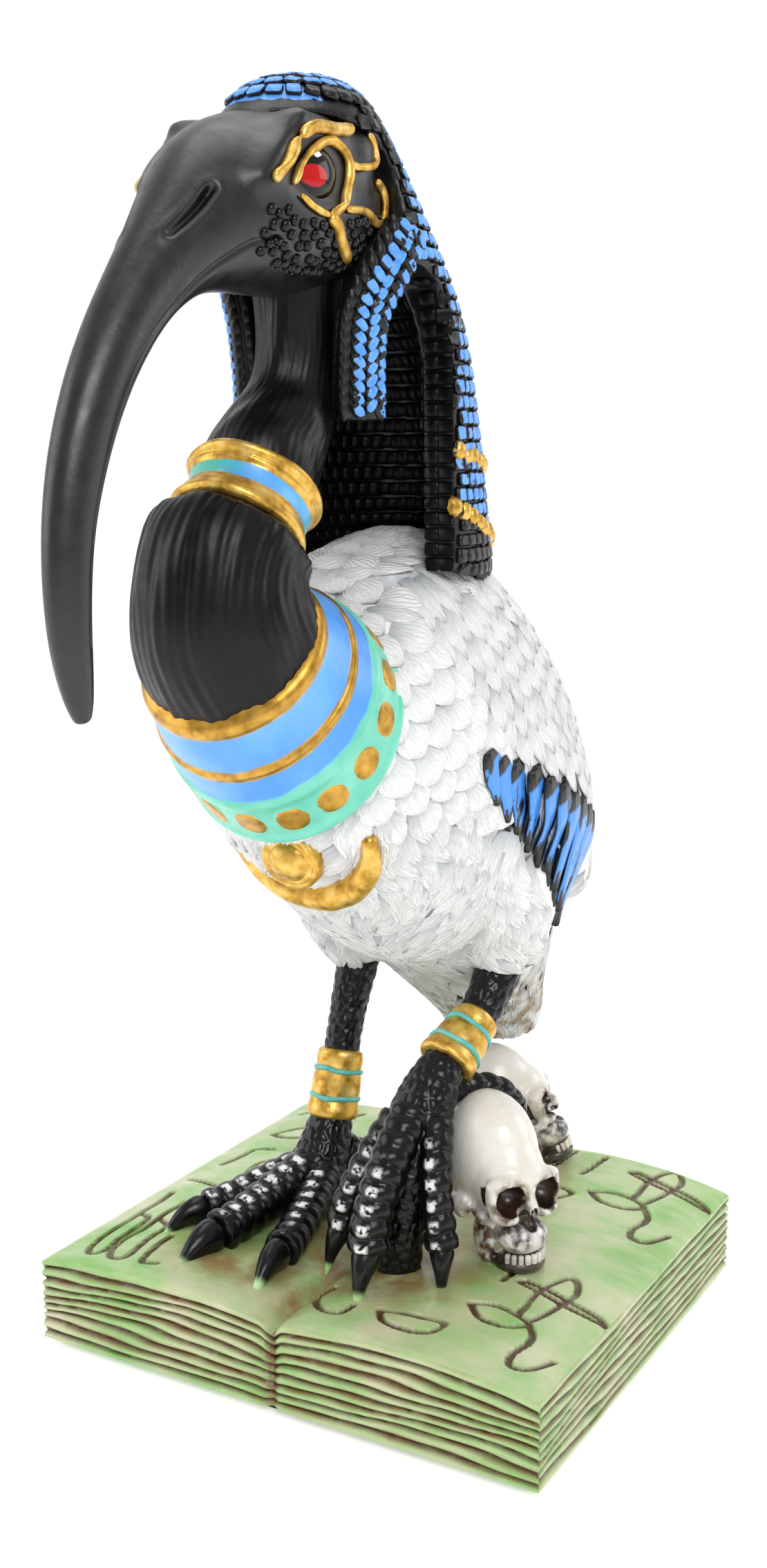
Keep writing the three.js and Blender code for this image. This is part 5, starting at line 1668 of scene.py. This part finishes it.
# The inside of the curtain and its front edges
# The same braids carved coarser and left black.
inner_seeds = []
for row in range(20):
    z = 137 + 2.75 * row
    centre_y, wide, deep = [np.interp(z, [row[0] for row in hollow_rows[::-1]],
                                      [row[k] for row in hollow_rows[::-1]]) for k in (1, 2, 3)]
    for k in range(24):
        turn = math.pi * (k + 0.5 * (row % 2)) / 23.5
        way = Vector((math.cos(turn) * wide, math.sin(turn) * deep, 0)).normalized()
        hit, normal, _, _ = shell_tree.ray_cast(Vector((0, centre_y, z + page_lift)) * mm, way)
        if hit is not None and hit.y > -15 * mm and normal.dot(way) < 0:
            inner_seeds.append((hit, Vector((0, 0, -1)), dice.uniform(0.9, 1.1),
                                dice.uniform(0.9, 1.1)))
for side in (-1, 1):
    for row in range(21):
        z = 136.5 + 2.5 * row
        for x in (14.3, 17):
            hit, normal, _, _ = shell_tree.ray_cast(Vector((side * x, -60, z + page_lift)) * mm,
                                                    Vector((0, 1, 0)))
            if hit is not None and -20 * mm < hit.y < -12 * mm:
                inner_seeds.append((hit, Vector((0, 0, -1)), dice.uniform(1.0, 1.1),
                                    dice.uniform(0.85, 1.0)))
shadowed_braid = braid_paint.copy()
shadowed_braid.name = "shadowed_braid"
shadowed_braid.node_tree.nodes["Principled BSDF"].inputs["Specular IOR Level"].default_value = 0.15
curtain_blocks = laid(block("curtain_blocks", 2.8, 2.4, 0.9), inner_seeds, shell_tree, 0.1 * mm)
set_mark(curtain_blocks, "blue", np.zeros(len(curtain_blocks.data.vertices)))
finish_piece(curtain_blocks, [shadowed_braid], 50)
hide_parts("ibis_figure")

# The front locks
# A flat lock of braid hangs in front of each shoulder, dark ribs at its front edge and two
# columns of slanting blue leaves on its face.
lock_rows = [(14.8, -25.6, 194, 3.6, 2.2), (14.2, -28, 190, 4.4, 2.3), (12.7, -31, 185, 4.6, 2.2),
             (11, -32, 180, 4.2, 2.1),
             (10.2, -31.7, 172, 4.1, 2.1), (10, -31.5, 166.5, 4.3, 2.2), (10, -31.5, 164.6, 3.6, 1.9)]
for side, side_name in ((-1, "right"), (1, "left")):
    mirrored = [(side * x, y, z, wide, thick) for x, y, z, wide, thick in lock_rows]
    across = Vector((side * 0.44, 0.9, 0)).normalized()
    outward = Vector((side * 0.9, -0.44, 0)).normalized()
    lock = drawn_out(side_name + "_lock", limb_rings(rounded_line(mirrored, 3), 16, np.array(across)))
    set_mark(lock, "blue", np.zeros(len(lock.data.vertices)))
    finish_piece(lock, [braid_paint])
    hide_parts("ibis_figure")
    lock_tree = BVHTree.FromObject(lock, bpy.context.evaluated_depsgraph_get())
    leaf_seeds, leaf_blue = [], []
    spine = np.array(rounded_line(mirrored, 6))[::-1]
    for row in range(16):
        z = 166 + 1.85 * row
        x, y, wide = [np.interp(z, spine[:, 2], spine[:, k]) for k in (0, 1, 3)]
        for face in (1, -1):
            for column, (offset, lean) in enumerate(((-0.86, 0), (-0.36, 0.75), (0.16, -0.75),
                                                     (0.66, 0.75))):
                start = Vector((x, y, z + (0.9 if column == 2 else 0)
                                + page_lift)) + across * offset * wide + outward * 20 * face
                hit, normal, _, _ = lock_tree.ray_cast(start * mm, -outward * face)
                if hit is None:
                    continue
                leaf_seeds.append((hit, Vector((0, 0, -1)) + across * lean * face, 1.0,
                                   dice.uniform(0.9, 1.1)))
                leaf_blue.append(0 if column == 0 or face < 0 else dice.uniform(0.8, 1.0))
    leaf = feather(side_name + "_lock_leaves", 2.2, 3.0, (4, 4), 0.8, 0.45)
    leaf_points = len(leaf.data.vertices)
    leaves = laid(leaf, leaf_seeds, lock_tree, 0.35 * mm)
    set_mark(leaves, "blue", np.clip(1.25 * mark_values(leaves, "blue"), 0, 1)
             * np.repeat(leaf_blue, leaf_points))
    finish_piece(leaves, [braid_paint], 50)
    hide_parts("ibis_figure")

# The gold beads at the wig's hem
# Two rows of oval drops painted gold, one along the hem and one a little above it.
hem_seeds = []
hem_ends = ((160.5, 156), (152, 141))
for front, back in hem_ends:
    for k in range(46):
        turn = math.radians(-50 + 280 * k / 45)
        y = np.interp(math.sin(turn), [-1, 1], [-36, 14])
        z = bead_row_z(y, front, back) + dice.uniform(-0.3, 0.3)
        centre_y, wide, deep = [np.interp(z, wig_spine[:, 0], wig_spine[:, n]) for n in (1, 2, 3)]
        out = Vector((math.cos(turn) * wide, math.sin(turn) * deep, 0))
        start = Vector((0, centre_y, z + page_lift)) + out * 2
        hit, normal, _, _ = shell_tree.ray_cast(start * mm, -out.normalized(), 1.4 * out.length * mm)
        if hit is not None and hit.y > -16.5 * mm:
            hem_seeds.append((hit, Vector((0.3, 0, -1)), dice.uniform(0.9, 1.15),
                              dice.uniform(0.9, 1.15)))
hem_beads = laid(bead("hem_beads", (2.6, 3.3, 3.2)), hem_seeds, shell_tree, 0)
finish_piece(hem_beads, [gold])
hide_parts("ibis_figure")
